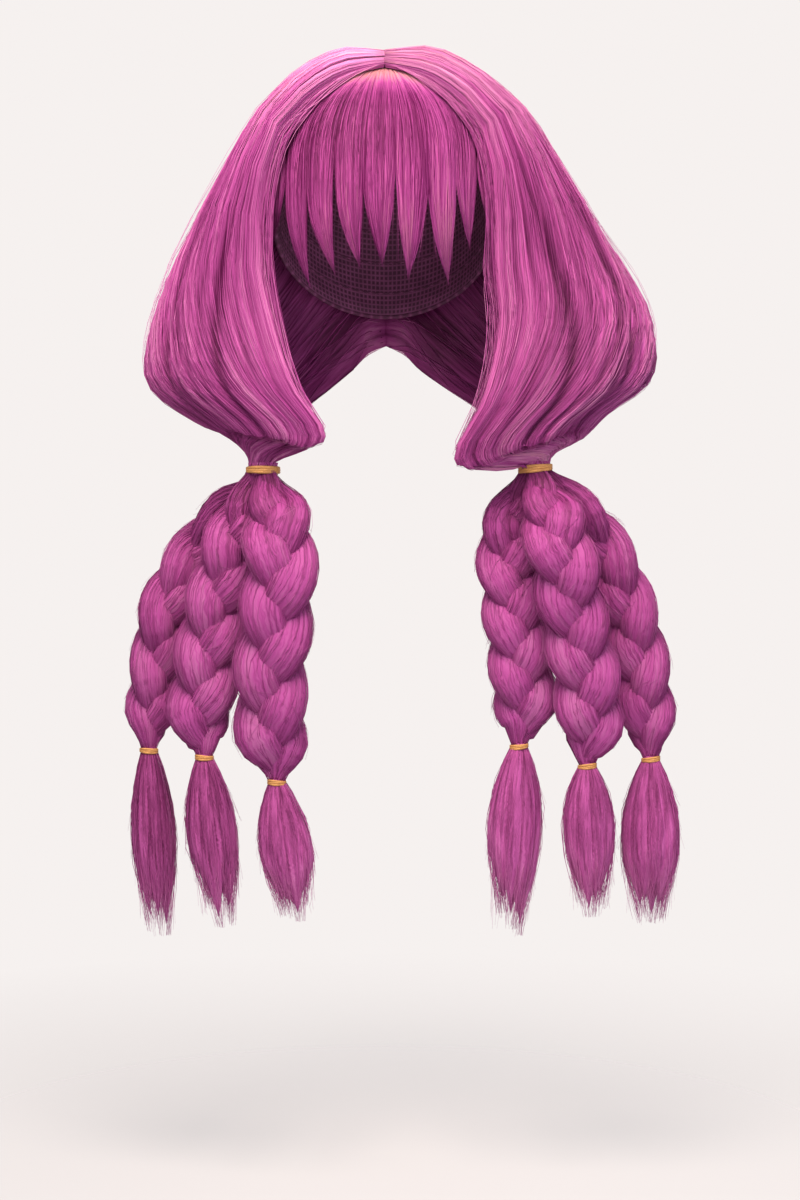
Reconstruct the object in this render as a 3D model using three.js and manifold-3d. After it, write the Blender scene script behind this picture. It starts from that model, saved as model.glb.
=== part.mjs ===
// Styled wig: a cap carrying a centre-parted head of hair, a pointed fringe, and two side bunches.
// Each bunch puffs out beside the face, is tied at neck height and ends in three tied braids.
// Millimetres, +Z up, the face looks along -Y, and left is the wearer's left, at +X.
// The origin is the top of the head, on the inside of the cap.
import * as THREE from "three";
import { mergeVertices } from "three/addons/utils/BufferGeometryUtils.js";
import Module from "manifold-3d";

const wasm = await Module();
wasm.setup();

// Driving dimensions

const HEAD = { halfBreadth: 74, halfLength: 95, crownHeight: 112, centreY: 5 };
const CAP = { wall: 1.5, frontRimDeg: 62, napeRimDeg: 116, aroundSteps: 20, downSteps: 5 };
const SIDE_HAIR = {
  outerShare: 0.45, // share of a section that runs from its front edge to its outermost point
  backRoundness: 0.86, // 1 makes the back of a section elliptic, less makes it fuller
  liftParting: 5.5, // hair surface above the scalp at the parting
  liftFront: 14, // at the face
  liftBack: 11.5, // and everywhere else
  insideFront: 10.5, // hollow of the wall above the scalp at the face, over the fringe's ends
  insideBack: 2.6,
  outsideSoftness: 0.05, // how softly the hair leaves the scalp
  insideSoftness: 0.02,
  partingShare: 0.14, // share of the way down over which the hair rises from the parting
  frontShare: 0.3, // share of a section that counts as the face side
  partingGap: 0.5, // each half keeps this far from the middle plane
  aroundSteps: 20,
  downSteps: 13,
};
const LOCKS = { count: 5, height: 3.4, sharpness: 0.7, fullAt: 0.45, fadeFrom: 0.75, tieShare: 0.25 };
const BUNCH_TIE = { radius: 11.2, thickness: 1.5, height: 6, sides: 12 };
const BRAID_TIE = { radius: 6.1, thickness: 1.1, height: 4, sides: 8 };
const TIE_ROUNDING = 0.35; // share of a tie's thickness
const TIE_GAP = 0.35;
const PIECE_GAP = 0.35;
const GATHER = {
  flareRadius: 16, flareRise: 18, bendShare: 0.45, lip: 1, stubDrop: 8, stubRadius: 11.6, sides: 10,
};
const BRAID = {
  strands: 3, strandWidth: 0.56, strandDepth: 0.62, // shares of the braid's half sizes
  neckShare: 0.76, endSway: 0.12, stemDrop: 5, rampIn: 50, rampOut: 24, sides: 6, steps: 9,
};
const TAIL = {
  neckShare: 0.9, freeFrom: 0.03, coreEnd: 0.8, endFullness: 0.6, sides: 8, steps: 5,
  locks: 4, lockStart: 0.5, lockSpread: 0.46, lockSpreadEnd: 0.62, lockSize: 0.44, tipSize: 0.04,
  lockStagger: [0, 0.08, 0.03, 0.12], lockSides: 5, lockSteps: 3,
};
const FRINGE = {
  rootZ: -16.5, halfThickness: 2.4, edgeThickness: 0.35, rootWidth: 0.6,
  fullAt: 0.6, // share of a lock's height where it has fanned out and starts to taper
  fanPower: 3.5, curlPower: 1.6, taperPower: 1.75, tipWidth: 0.06, sides: 6, steps: 7,
  rootCrowding: 1.5, // over 1 sets the stations closer together where the fringe bends most
};
const SLOPE_STEP = 0.01; // small step along a curve, to find its direction

const HAIR = new THREE.MeshStandardMaterial({ color: 0xb2489a, roughness: 0.5, metalness: 0 });
const CAP_NET = new THREE.MeshStandardMaterial({ color: 0x5a2450, roughness: 0.9, metalness: 0 });
const ELASTIC = new THREE.MeshStandardMaterial({ color: 0xc98f3c, roughness: 0.6, metalness: 0 });

// Side hair sections from the parting down to the tie.
// front is the edge beside the face, outer the widest point, back the edge towards the nape.
const SIDE_SECTIONS = {
  left: [
    { at: "parting", front: [0.9, -52, -9], outer: [0.9, 0, 4], back: [0.9, 98, -175], wall: 5 },
    { at: "swell", front: [25, -57, -15], outer: [30, 3, 9], back: [6, 100, -182], wall: 7 },
    { at: "crown", front: [47, -56, -27], outer: [60, 6, -3], back: [12, 101, -188], wall: 8 },
    { at: "temple", front: [72, -50, -52], outer: [96, 8, -32], back: [26, 98, -200], wall: 8 },
    { at: "ear", front: [74, -57, -91], outer: [122, 6, -72], back: [42, 92, -212], wall: 8 },
    { at: "cheek", front: [75, -60, -134], outer: [153, 2, -120], back: [58, 80, -224], wall: 9 },
    { at: "full", front: [78, -69, -178], outer: [181, -6, -174], back: [72, 60, -236], wall: 9 },
    { at: "turn", front: [67, -80, -226], outer: [179, -15, -211], back: [84, 31, -247], wall: 9 },
    { at: "droop", front: [48, -79, -264], outer: [145, -31, -243], back: [92, -3, -256], wall: 7 },
    { at: "gather", front: [65, -65, -273], outer: [126, -42, -259], back: [96, -29, -264], wall: 5 },
    { at: "tie", front: [98, -58, -267], outer: [107, -50, -267], back: [100, -43, -267], wall: 3 },
  ],
  right: [
    { at: "parting", front: [-0.9, -52, -9], outer: [-0.9, 0, 4], back: [-0.9, 98, -175], wall: 5 },
    { at: "swell", front: [-26, -57, -15], outer: [-29, 3, 8], back: [-6, 100, -182], wall: 7 },
    { at: "crown", front: [-47, -55, -27], outer: [-57, 6, -4], back: [-12, 101, -188], wall: 8 },
    { at: "temple", front: [-74, -48, -52], outer: [-87, 8, -32], back: [-26, 98, -200], wall: 8 },
    { at: "ear", front: [-84, -54, -91], outer: [-111, 6, -72], back: [-40, 92, -212], wall: 8 },
    { at: "cheek", front: [-84, -60, -134], outer: [-136, 2, -120], back: [-53, 80, -224], wall: 9 },
    { at: "full", front: [-75, -69, -178], outer: [-157, -6, -173], back: [-64, 60, -236], wall: 9 },
    { at: "turn", front: [-61, -80, -219], outer: [-160, -15, -214], back: [-70, 31, -247], wall: 9 },
    { at: "droop", front: [-41, -79, -252], outer: [-126, -31, -246], back: [-74, -3, -257], wall: 7 },
    { at: "gather", front: [-53, -64, -262], outer: [-101, -44, -260], back: [-77, -29, -265], wall: 5 },
    { at: "tie", front: [-79, -58, -268], outer: [-88, -50, -268], back: [-81, -43, -268], wall: 3 },
  ],
};
const TIES = { left: [99, -50, -273], right: [-80, -50, -274] };

// Braids: the route of the middle line from the bunch tie to the braid's own tie.
// pitch is one full turn of a strand, turnDeg how far the flat of the braid is turned from the front.
const BRAIDS = [
  {
    name: "left_inner", side: "left", stem: [-5.2, 3.0],
    route: [[82, -49, -320], [85, -57, -365], [89, -60, -398], [91, -61, -437]],
    end: [88, -62, -455],
    halfWidth: 21.5, halfDepth: 12, pitch: 100, phaseDeg: 200, turnDeg: 8,
    tail: { tip: [82, -62, -579], halfWidth: 17, halfDepth: 13, fullest: 0.42 },
  },
  {
    name: "left_middle", side: "left", stem: [0.4, -6.0],
    route: [[113, -80, -324], [123, -76, -372], [131, -74, -411], [134, -72, -448]],
    end: [132, -71, -467],
    halfWidth: 22, halfDepth: 12, pitch: 108, phaseDeg: 20, turnDeg: -4,
    tail: { tip: [135, -70, -565], halfWidth: 16, halfDepth: 12.5, fullest: 0.4 },
  },
  {
    name: "left_outer", side: "left", stem: [5.2, 3.0],
    route: [[141, -46, -322], [159, -49, -362], [168, -52, -401], [173, -55, -443]],
    end: [175, -56, -464],
    halfWidth: 20, halfDepth: 11.5, pitch: 112, phaseDeg: 140, turnDeg: -24,
    tail: { tip: [175, -56, -573], halfWidth: 19, halfDepth: 14, fullest: 0.48 },
  },
  {
    name: "right_inner", side: "right", stem: [3.0, -5.2],
    route: [[-67, -80, -326], [-70, -82, -372], [-74, -80, -411], [-72, -78, -452]],
    end: [-70, -76, -477],
    halfWidth: 24, halfDepth: 12.5, pitch: 122, phaseDeg: 40, turnDeg: -6,
    tail: { tip: [-58, -75, -567], halfWidth: 17, halfDepth: 12.5, fullest: 0.5 },
  },
  {
    name: "right_middle", side: "right", stem: [-6.2, -0.4],
    route: [[-98, -58, -324], [-112, -60, -372], [-118, -62, -411], [-121, -63, -444]],
    end: [-118, -64, -462],
    halfWidth: 22, halfDepth: 12, pitch: 112, phaseDeg: 160, turnDeg: 6,
    tail: { tip: [-107, -63, -573], halfWidth: 16, halfDepth: 12, fullest: 0.45 },
  },
  {
    name: "right_outer", side: "right", stem: [3.0, 5.2],
    route: [[-115, -24, -314], [-143, -38, -360], [-151, -42, -405], [-155, -46, -441]],
    end: [-156, -48, -459],
    halfWidth: 19, halfDepth: 11.5, pitch: 112, phaseDeg: 280, turnDeg: 26,
    tail: { tip: [-150, -47, -582], halfWidth: 14, halfDepth: 12, fullest: 0.45 },
  },
];

// Fringe locks from the wearer's right to left. fullX is the middle of the lock where it has fanned out,
// and lift is its middle above the scalp.
const FRINGE_LOCKS = [
  { rootX: -15, fullX: -71, tipX: -73, tipZ: -120, halfWidth: 7, lift: 6 },
  { rootX: -12, fullX: -58.5, tipX: -49, tipZ: -153, halfWidth: 8, lift: 6.6 },
  { rootX: -8.5, fullX: -41.5, tipX: -32.5, tipZ: -147, halfWidth: 9, lift: 7 },
  { rootX: -5, fullX: -23, tipX: -16, tipZ: -143.5, halfWidth: 10.5, lift: 6.4 },
  { rootX: -1, fullX: -3.5, tipX: -1.3, tipZ: -142.5, halfWidth: 10, lift: 7.1 },
  { rootX: 4, fullX: 18, tipX: 15.6, tipZ: -149.5, halfWidth: 11, lift: 6.5 },
  { rootX: 8.5, fullX: 38, tipX: 41, tipZ: -152, halfWidth: 10, lift: 7 },
  { rootX: 12, fullX: 54, tipX: 55, tipZ: -129, halfWidth: 9, lift: 6.3 },
  { rootX: 15, fullX: 66, tipX: 70, tipZ: -116, halfWidth: 7, lift: 6 },
];

// Helpers that make closed meshes

const vector = (xyz) => new THREE.Vector3(...xyz);
const mix = THREE.MathUtils.lerp;
const smooth = (x) => THREE.MathUtils.smoothstep(x, 0, 1);

function indexedGeometry(points, triangles) {
  const geometry = new THREE.BufferGeometry().setFromPoints(points);
  return geometry.setIndex(triangles);
}

// A wall between two sheets of points with the same rows and columns, closed along its four edges.
function wallGeometry(outside, inside) {
  const rows = outside.length;
  const columns = outside[0].length;
  const points = [...outside.flat(), ...inside.flat()];
  const out = (r, c) => r * columns + c;
  const into = (r, c) => rows * columns + r * columns + c;
  const triangles = [];
  const quad = (a, b, c, d) => triangles.push(a, b, c, a, c, d);
  for (let r = 0; r + 1 < rows; r++) {
    for (let c = 0; c + 1 < columns; c++) {
      quad(out(r, c), out(r + 1, c), out(r + 1, c + 1), out(r, c + 1));
      quad(into(r, c), into(r, c + 1), into(r + 1, c + 1), into(r + 1, c));
    }
    quad(out(r, 0), into(r, 0), into(r + 1, 0), out(r + 1, 0));
    const last = columns - 1;
    quad(out(r, last), out(r + 1, last), into(r + 1, last), into(r, last));
  }
  for (let c = 0; c + 1 < columns; c++) {
    quad(out(0, c), out(0, c + 1), into(0, c + 1), into(0, c));
    const last = rows - 1;
    quad(out(last, c), into(last, c), into(last, c + 1), out(last, c + 1));
  }
  return indexedGeometry(points, triangles);
}

// A closed tube through stations, each with a centre, two axes and two half sizes.
function tubeGeometry(stations, sides) {
  const points = [];
  for (const { centre, across, deep, halfWidth, halfDepth } of stations) {
    for (let k = 0; k < sides; k++) {
      const angle = (2 * Math.PI * k) / sides;
      points.push(
        centre.clone()
          .addScaledVector(across, halfWidth * Math.cos(angle))
          .addScaledVector(deep, halfDepth * Math.sin(angle)),
      );
    }
  }
  const first = points.push(stations[0].centre.clone()) - 1;
  const last = points.push(stations.at(-1).centre.clone()) - 1;
  const triangles = [];
  for (let s = 0; s + 1 < stations.length; s++) {
    for (let k = 0; k < sides; k++) {
      const a = s * sides + k;
      const b = s * sides + ((k + 1) % sides);
      triangles.push(a, b, b + sides, a, b + sides, a + sides);
    }
  }
  const end = (stations.length - 1) * sides;
  for (let k = 0; k < sides; k++) {
    const next = (k + 1) % sides;
    triangles.push(first, next, k, last, end + k, end + next);
  }
  return indexedGeometry(points, triangles);
}

function toSolid(geometry) {
  const bare = new THREE.BufferGeometry().setAttribute("position", geometry.getAttribute("position"));
  bare.setIndex(geometry.index);
  const merged = mergeVertices(bare, 1e-4);
  const index = [...merged.index.array];
  const triVerts = [];
  for (let i = 0; i < index.length; i += 3) {
    const [a, b, c] = index.slice(i, i + 3);
    if (a !== b && b !== c && a !== c) triVerts.push(a, b, c);
  }
  const mesh = new wasm.Mesh({
    numProp: 3,
    vertProperties: new Float32Array(merged.attributes.position.array),
    triVerts: new Uint32Array(triVerts),
  });
  const solid = new wasm.Manifold(mesh);
  if (solid.volume() > 0) return solid;
  for (let i = 0; i < triVerts.length; i += 3) triVerts.splice(i + 1, 2, triVerts[i + 2], triVerts[i + 1]);
  mesh.triVerts = new Uint32Array(triVerts);
  return new wasm.Manifold(mesh);
}

function toGeometry(solid) {
  const mesh = solid.getMesh();
  const position = new THREE.BufferAttribute(new Float32Array(mesh.vertProperties), 3);
  const geometry = new THREE.BufferGeometry().setAttribute("position", position);
  geometry.setIndex(new THREE.BufferAttribute(mesh.triVerts, 1));
  geometry.computeVertexNormals();
  return geometry;
}

const fuse = (geometries) => toGeometry(geometries.map(toSolid).reduce((all, next) => all.add(next)));

const wig = new THREE.Group();
function addPiece(name, geometry, material, parent = wig) {
  const mesh = new THREE.Mesh(geometry, material);
  mesh.name = name;
  parent.add(mesh);
  return mesh;
}

// The head that the cap fits, as an ellipsoid

const headCentre = new THREE.Vector3(0, HEAD.centreY, -HEAD.crownHeight);
const headRadii = (lift) =>
  new THREE.Vector3(HEAD.halfBreadth + lift, HEAD.halfLength + lift, HEAD.crownHeight + lift);

function headPoint(aroundRad, downRad, lift) {
  const radii = headRadii(lift);
  return new THREE.Vector3(
    radii.x * Math.sin(downRad) * Math.sin(aroundRad),
    -radii.y * Math.sin(downRad) * Math.cos(aroundRad),
    radii.z * Math.cos(downRad),
  ).add(headCentre);
}

// Moves a point out to at least this lift above the scalp, with a soft transition.
function pushedOut(point, lift, softness) {
  const fromCentre = point.clone().sub(headCentre);
  const depth = fromCentre.clone().divide(headRadii(lift)).length();
  const wanted = (depth + 1 + Math.hypot(depth - 1, softness)) / 2;
  return fromCentre.multiplyScalar(wanted / depth).add(headCentre);
}

// Cap

function capSheet(lift) {
  const rows = [];
  for (let i = 0; i <= CAP.downSteps; i++) {
    const row = [];
    for (let j = 0; j < CAP.aroundSteps; j++) {
      const around = (2 * Math.PI * j) / CAP.aroundSteps;
      const towardsNape = (1 - Math.cos(around)) / 2;
      const rim = THREE.MathUtils.degToRad(mix(CAP.frontRimDeg, CAP.napeRimDeg, towardsNape));
      row.push(headPoint(around, (rim * i) / CAP.downSteps, lift));
    }
    rows.push([...row, row[0].clone()]);
  }
  return rows;
}

addPiece("cap", toGeometry(toSolid(wallGeometry(capSheet(CAP.wall), capSheet(0)))), CAP_NET);

// Side hair with its gather

function sectionPoint(front, outer, back, share) {
  const split = SIDE_HAIR.outerShare;
  if (share < split) {
    const turn = ((share / split) * Math.PI) / 2;
    return new THREE.Vector3(
      mix(front.x, outer.x, Math.sin(turn)),
      mix(outer.y, front.y, Math.cos(turn)),
      mix(front.z, outer.z, Math.sin(turn)),
    );
  }
  const turn = (((share - split) / (1 - split)) * Math.PI) / 2;
  const inward = Math.pow(Math.cos(turn), SIDE_HAIR.backRoundness);
  return new THREE.Vector3(
    mix(back.x, outer.x, inward),
    mix(outer.y, back.y, Math.pow(Math.sin(turn), SIDE_HAIR.backRoundness)),
    mix(outer.z, back.z, 1 - inward),
  );
}

// Height of the lock ridges, with a groove between each two locks.
function lockRidge(share, down) {
  const { count, height, sharpness, fullAt, fadeFrom, tieShare } = LOCKS;
  const ridge = Math.pow(Math.abs(Math.sin(Math.PI * count * share)), sharpness);
  const grown = smooth(down / fullAt) * mix(1, tieShare, smooth((down - fadeFrom) / (1 - fadeFrom)));
  return height * grown * (ridge - 1);
}

function sideHairSheets(side) {
  const sections = SIDE_SECTIONS[side];
  const sign = side === "left" ? 1 : -1;
  const line = (column) => new THREE.CatmullRomCurve3(sections.map((row) => vector(row[column])));
  const edges = { front: line("front"), outer: line("outer"), back: line("back") };
  const faceSide = (share) => 1 - smooth(share / SIDE_HAIR.frontShare);
  const onSurface = (share, down) => {
    const at = (edge) => edges[edge].getPoint(THREE.MathUtils.clamp(down, 0, 1));
    const raw = sectionPoint(at("front"), at("outer"), at("back"), THREE.MathUtils.clamp(share, 0, 1));
    const full = mix(SIDE_HAIR.liftBack, SIDE_HAIR.liftFront, faceSide(share));
    const lift = mix(SIDE_HAIR.liftParting, full, smooth(down / SIDE_HAIR.partingShare));
    return pushedOut(raw, lift, SIDE_HAIR.outsideSoftness);
  };
  const wallAt = (down) => {
    const place = down * (sections.length - 1);
    const row = Math.min(Math.floor(place), sections.length - 2);
    return mix(sections[row].wall, sections[row + 1].wall, place - row);
  };
  const outside = [];
  const inside = [];
  for (let i = 0; i <= SIDE_HAIR.downSteps; i++) {
    const down = i / SIDE_HAIR.downSteps;
    const outRow = [];
    const inRow = [];
    for (let j = 0; j <= SIDE_HAIR.aroundSteps; j++) {
      const share = j / SIDE_HAIR.aroundSteps;
      const point = onSurface(share, down);
      const alongHair = onSurface(share, down + SLOPE_STEP).sub(onSurface(share, down - SLOPE_STEP));
      const alongSection = onSurface(share + SLOPE_STEP, down).sub(onSurface(share - SLOPE_STEP, down));
      const outward = alongHair.cross(alongSection).normalize().multiplyScalar(sign);
      const hollow = mix(SIDE_HAIR.insideBack, SIDE_HAIR.insideFront, faceSide(share));
      const deep = point.clone().addScaledVector(outward, -wallAt(down));
      const under = pushedOut(deep, mix(SIDE_HAIR.insideBack, hollow, smooth(down / SIDE_HAIR.partingShare)),
        SIDE_HAIR.insideSoftness);
      point.addScaledVector(outward, lockRidge(share, down));
      for (const sheetPoint of [point, under]) {
        sheetPoint.x = sign * Math.max(sign * sheetPoint.x, SIDE_HAIR.partingGap);
      }
      outRow.push(point);
      inRow.push(under);
    }
    outside.push(outRow);
    inside.push(inRow);
  }
  return { outside, inside };
}

// The hair drawn together above the tie, through it and just below.
function gatherGeometry(side) {
  const { flareRadius, flareRise, bendShare, lip, stubDrop, stubRadius, sides } = GATHER;
  const half = BUNCH_TIE.height / 2;
  const throat = BUNCH_TIE.radius - BUNCH_TIE.thickness - TIE_GAP;
  const profile = [
    [0, -half - stubDrop],
    [stubRadius, -half - stubDrop],
    [throat, -half - lip],
    [throat, half + lip],
    [mix(throat, flareRadius, bendShare), half + flareRise * bendShare],
    [flareRadius, half + flareRise],
    [0, half + flareRise],
  ];
  const lathe = new THREE.LatheGeometry(profile.map(([r, z]) => new THREE.Vector2(r, z)), sides);
  return lathe.rotateX(Math.PI / 2).translate(...TIES[side]);
}

for (const side of ["left", "right"]) {
  const { outside, inside } = sideHairSheets(side);
  addPiece(`side_hair_${side}`, fuse([wallGeometry(outside, inside), gatherGeometry(side)]), HAIR);
}

// Ties: a wound elastic, as one ring with a rounded outside

function tieGeometry({ radius, thickness, height, sides }) {
  const bulge = thickness * TIE_ROUNDING;
  const profile = [
    [radius - thickness, -height / 2],
    [radius - bulge, -height / 2],
    [radius, -height / 4],
    [radius, height / 4],
    [radius - bulge, height / 2],
    [radius - thickness, height / 2],
    [radius - thickness, -height / 2],
  ];
  const lathe = new THREE.LatheGeometry(profile.map(([r, z]) => new THREE.Vector2(r, z)), sides);
  return toGeometry(toSolid(lathe.rotateX(Math.PI / 2)));
}

for (const side of ["left", "right"]) {
  addPiece(`bunch_tie_${side}`, tieGeometry(BUNCH_TIE), ELASTIC).position.set(...TIES[side]);
}

// Braids, their ties and their tails

function braidLine({ side, stem, route, end }) {
  const [x, y, z] = TIES[side];
  const top = z - BUNCH_TIE.height / 2 - GATHER.stubDrop - PIECE_GAP;
  const start = new THREE.Vector3(x + stem[0], y + stem[1], top);
  const below = start.clone().setZ(top - BRAID.stemDrop);
  const finish = vector(end);
  const above = finish.clone().setZ(finish.z + 2 * BRAID_TIE.height);
  return new THREE.CatmullRomCurve3([start, below, ...route.map(vector), above, finish]);
}

// A strand crosses in front on its way in from an edge, and passes behind on its way out.
function braidGeometry(row) {
  const line = braidLine(row);
  const length = line.getLength();
  const turn = THREE.MathUtils.degToRad(row.turnDeg);
  const flat = new THREE.Vector3(Math.cos(turn), Math.sin(turn), 0);
  const endRadius = BRAID_TIE.radius - BRAID_TIE.thickness - TIE_GAP;
  const tieZone = BRAID_TIE.height / 2 + TIE_GAP;
  const strandWidth = row.halfWidth * BRAID.strandWidth;
  const strandDepth = row.halfDepth * BRAID.strandDepth;
  const neck = endRadius * BRAID.neckShare;
  const sway = { wide: row.halfWidth - strandWidth, deep: row.halfDepth - strandDepth };
  const centreOf = (share, k) => {
    const place = share * length;
    const left = length - place - tieZone;
    const opening = Math.min(smooth(place / BRAID.rampIn), smooth(left / BRAID.rampOut));
    const turns = place / row.pitch + k / BRAID.strands + row.phaseDeg / 360;
    const angle = 2 * Math.PI * turns;
    const tangent = line.getTangentAt(share);
    const deep = new THREE.Vector3().crossVectors(tangent, flat).normalize();
    const across = new THREE.Vector3().crossVectors(deep, tangent).normalize();
    const swing = mix(BRAID.endSway, 1, opening);
    const centre = line.getPointAt(share)
      .addScaledVector(across, swing * sway.wide * Math.sin(angle))
      .addScaledVector(deep, -swing * sway.deep * Math.sin(2 * angle));
    return { centre, deep, opening };
  };
  const strands = [];
  for (let k = 0; k < BRAID.strands; k++) {
    const stations = [];
    for (let i = 0; i <= BRAID.steps; i++) {
      const share = i === BRAID.steps ? 1 : (i / (BRAID.steps - 1)) * (1 - tieZone / length);
      const { centre, deep, opening } = centreOf(share, k);
      const before = centreOf(Math.max(share - SLOPE_STEP, 0), k).centre;
      const heading = centreOf(Math.min(share + SLOPE_STEP, 1), k).centre.sub(before).normalize();
      if (i === 0 || i === BRAID.steps) heading.copy(line.getTangentAt(share));
      const across = new THREE.Vector3().crossVectors(deep, heading).normalize();
      stations.push({
        centre,
        across,
        deep,
        halfWidth: mix(neck, strandWidth, opening),
        halfDepth: mix(neck, strandDepth, opening),
      });
    }
    strands.push(tubeGeometry(stations, BRAID.sides));
  }
  return fuse(strands);
}

// A tail: a full core with pointed locks at its lower end.
function tailGeometry({ end, tail, turnDeg }) {
  const turn = THREE.MathUtils.degToRad(turnDeg);
  const across = new THREE.Vector3(Math.cos(turn), Math.sin(turn), 0);
  const deep = new THREE.Vector3(-Math.sin(turn), Math.cos(turn), 0);
  const top = vector(end).setZ(end[2] - PIECE_GAP);
  const tip = vector(tail.tip);
  const neck = TAIL.neckShare * (BRAID_TIE.radius - BRAID_TIE.thickness - TIE_GAP);
  const fullness = (share) => {
    const closed = 1 - Math.max(share - TAIL.freeFrom, 0) / (tail.fullest - TAIL.freeFrom);
    if (share < tail.fullest) return 1 - closed * closed;
    return mix(1, TAIL.endFullness, smooth((share - tail.fullest) / (1 - tail.fullest)));
  };
  const shares = [0, TAIL.freeFrom];
  for (let i = 1; i <= TAIL.steps; i++) shares.push((TAIL.coreEnd * i) / TAIL.steps);
  const core = shares.map((share) => ({
    centre: top.clone().lerp(tip, share),
    across,
    deep,
    halfWidth: mix(neck, tail.halfWidth, fullness(share)),
    halfDepth: mix(neck, tail.halfDepth, fullness(share)),
  }));
  const pieces = [tubeGeometry(core, TAIL.sides)];
  for (let k = 0; k < TAIL.locks; k++) {
    const angle = (2 * Math.PI * (k + 0.5)) / TAIL.locks;
    const lock = [];
    for (let i = 0; i <= TAIL.lockSteps; i++) {
      const along = i / TAIL.lockSteps;
      const share = mix(TAIL.lockStart, 1 - TAIL.lockStagger[k], along);
      const spread = mix(TAIL.lockSpread, TAIL.lockSpreadEnd, along) * fullness(share);
      const size = mix(TAIL.lockSize, TAIL.tipSize, along * along);
      lock.push({
        centre: top.clone().lerp(tip, share)
          .addScaledVector(across, tail.halfWidth * spread * Math.cos(angle))
          .addScaledVector(deep, tail.halfDepth * spread * Math.sin(angle)),
        across,
        deep,
        halfWidth: tail.halfWidth * size,
        halfDepth: tail.halfDepth * size,
      });
    }
    pieces.push(tubeGeometry(lock, TAIL.lockSides));
  }
  return fuse(pieces);
}

for (const row of BRAIDS) {
  addPiece(`braid_${row.name}`, braidGeometry(row), HAIR);
  const [x, y, z] = row.end;
  addPiece(`braid_tie_${row.name}`, tieGeometry(BRAID_TIE), ELASTIC).position.set(x, y, z);
  addPiece(`tail_${row.name}`, tailGeometry(row), HAIR);
}

// Fringe: flat pointed locks fanned from the front of the parting

function fringePoint(x, z, lift) {
  const radii = headRadii(lift);
  const down = Math.acos(THREE.MathUtils.clamp((z - headCentre.z) / radii.z, 0, 1));
  const sideways = x / (radii.x * Math.sin(down));
  return headPoint(Math.asin(THREE.MathUtils.clamp(sideways, -1, 1)), down, lift).setZ(z);
}

function fringeLock({ rootX, fullX, tipX, tipZ, halfWidth, lift }) {
  const { rootZ, halfThickness, edgeThickness, rootWidth, fullAt } = FRINGE;
  const { fanPower, curlPower, taperPower, tipWidth, steps, rootCrowding } = FRINGE;
  const stations = [];
  const beyond = (share) => Math.max(share - fullAt, 0) / (1 - fullAt);
  const point = (share) => {
    const fanned = 1 - Math.pow(1 - Math.min(share / fullAt, 1), fanPower);
    const curled = Math.pow(beyond(share), curlPower);
    const x = mix(rootX, fullX, fanned) + (tipX - fullX) * curled;
    return fringePoint(x, mix(rootZ, tipZ, share), lift);
  };
  for (let i = 0; i <= steps; i++) {
    const share = Math.pow(i / steps, rootCrowding);
    const centre = point(share);
    const heading = point(Math.min(share + SLOPE_STEP, 1)).sub(point(Math.max(share - SLOPE_STEP, 0)));
    heading.normalize();
    const outward = centre.clone().sub(headCentre).setZ(0).normalize();
    const across = new THREE.Vector3().crossVectors(heading, outward).normalize();
    const deep = new THREE.Vector3().crossVectors(across, heading).normalize();
    const taper = mix(1, tipWidth, Math.pow(beyond(share), taperPower));
    stations.push({
      centre,
      across,
      deep,
      halfWidth: halfWidth * taper * mix(rootWidth, 1, smooth(share / fullAt)),
      halfDepth: halfThickness * mix(edgeThickness, 1, taper),
    });
  }
  return tubeGeometry(stations, FRINGE.sides);
}

addPiece("fringe", fuse(FRINGE_LOCKS.map(fringeLock)), HAIR);

export default wig;
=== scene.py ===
"""Looks of a styled wig: combed side bunches, a pointed fringe, braids, wound elastics and a net cap.

Metres, +Z up. The face looks along -Y, and left is the wearer's left, at +X.
Tables hold millimetres, as the part's own source does.
"""
from __future__ import annotations

import logging
import math
from dataclasses import dataclass
from enum import Enum
from typing import Any, NamedTuple, Sequence, Union

import bpy
import numpy as np
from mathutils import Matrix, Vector


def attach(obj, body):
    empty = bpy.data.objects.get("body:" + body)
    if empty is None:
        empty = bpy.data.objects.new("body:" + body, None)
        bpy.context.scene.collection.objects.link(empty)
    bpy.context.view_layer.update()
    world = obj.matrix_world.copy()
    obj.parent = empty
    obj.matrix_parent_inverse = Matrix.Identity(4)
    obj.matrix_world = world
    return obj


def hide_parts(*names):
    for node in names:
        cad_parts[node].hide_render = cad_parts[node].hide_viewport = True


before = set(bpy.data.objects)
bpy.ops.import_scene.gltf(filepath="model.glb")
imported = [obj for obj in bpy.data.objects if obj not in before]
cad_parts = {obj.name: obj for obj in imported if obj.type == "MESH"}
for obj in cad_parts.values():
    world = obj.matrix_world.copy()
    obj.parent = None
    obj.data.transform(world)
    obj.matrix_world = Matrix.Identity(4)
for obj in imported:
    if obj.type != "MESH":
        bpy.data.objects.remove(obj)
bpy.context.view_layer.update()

Array = np.ndarray
Numbers = Union[float, Array]
Rng = np.random.Generator
Span = tuple[float, float]
Relief = tuple[float, float]
Point = tuple[float, float, float]
Colour = tuple[float, float, float, float]

MM = 0.001
TINY = 1e-9
TAU = 2 * math.pi
FULL_TURN_DEG = 360.0
SEED = 7
BODY = "root"
FLOW = "flow"
# Mesh attribute of painted shade on the hair's colour; below zero it paints a highlight.
PAINTED_SHADING = "painted_shading"
FIBRE_SIDES = 3
STEEP = 0.8
NOISE_MIDDLE = 0.5
UP = np.array([0.0, 0.0, 1.0])
SIDEWAYS = np.array([1.0, 0.0, 0.0])
log = logging.getLogger("wig")


class Side(Enum):
    """A side of the wearer, with the sign of its X."""

    LEFT = "left"
    RIGHT = "right"

    @property
    def sign(self) -> float:
        """1 on the wearer's left and -1 on the right."""
        return 1.0 if self is Side.LEFT else -1.0


class Slot(Enum):
    """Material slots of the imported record."""

    HAIR = "hair"
    CAP_NET = "cap_net"
    ELASTIC = "elastic"


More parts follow.
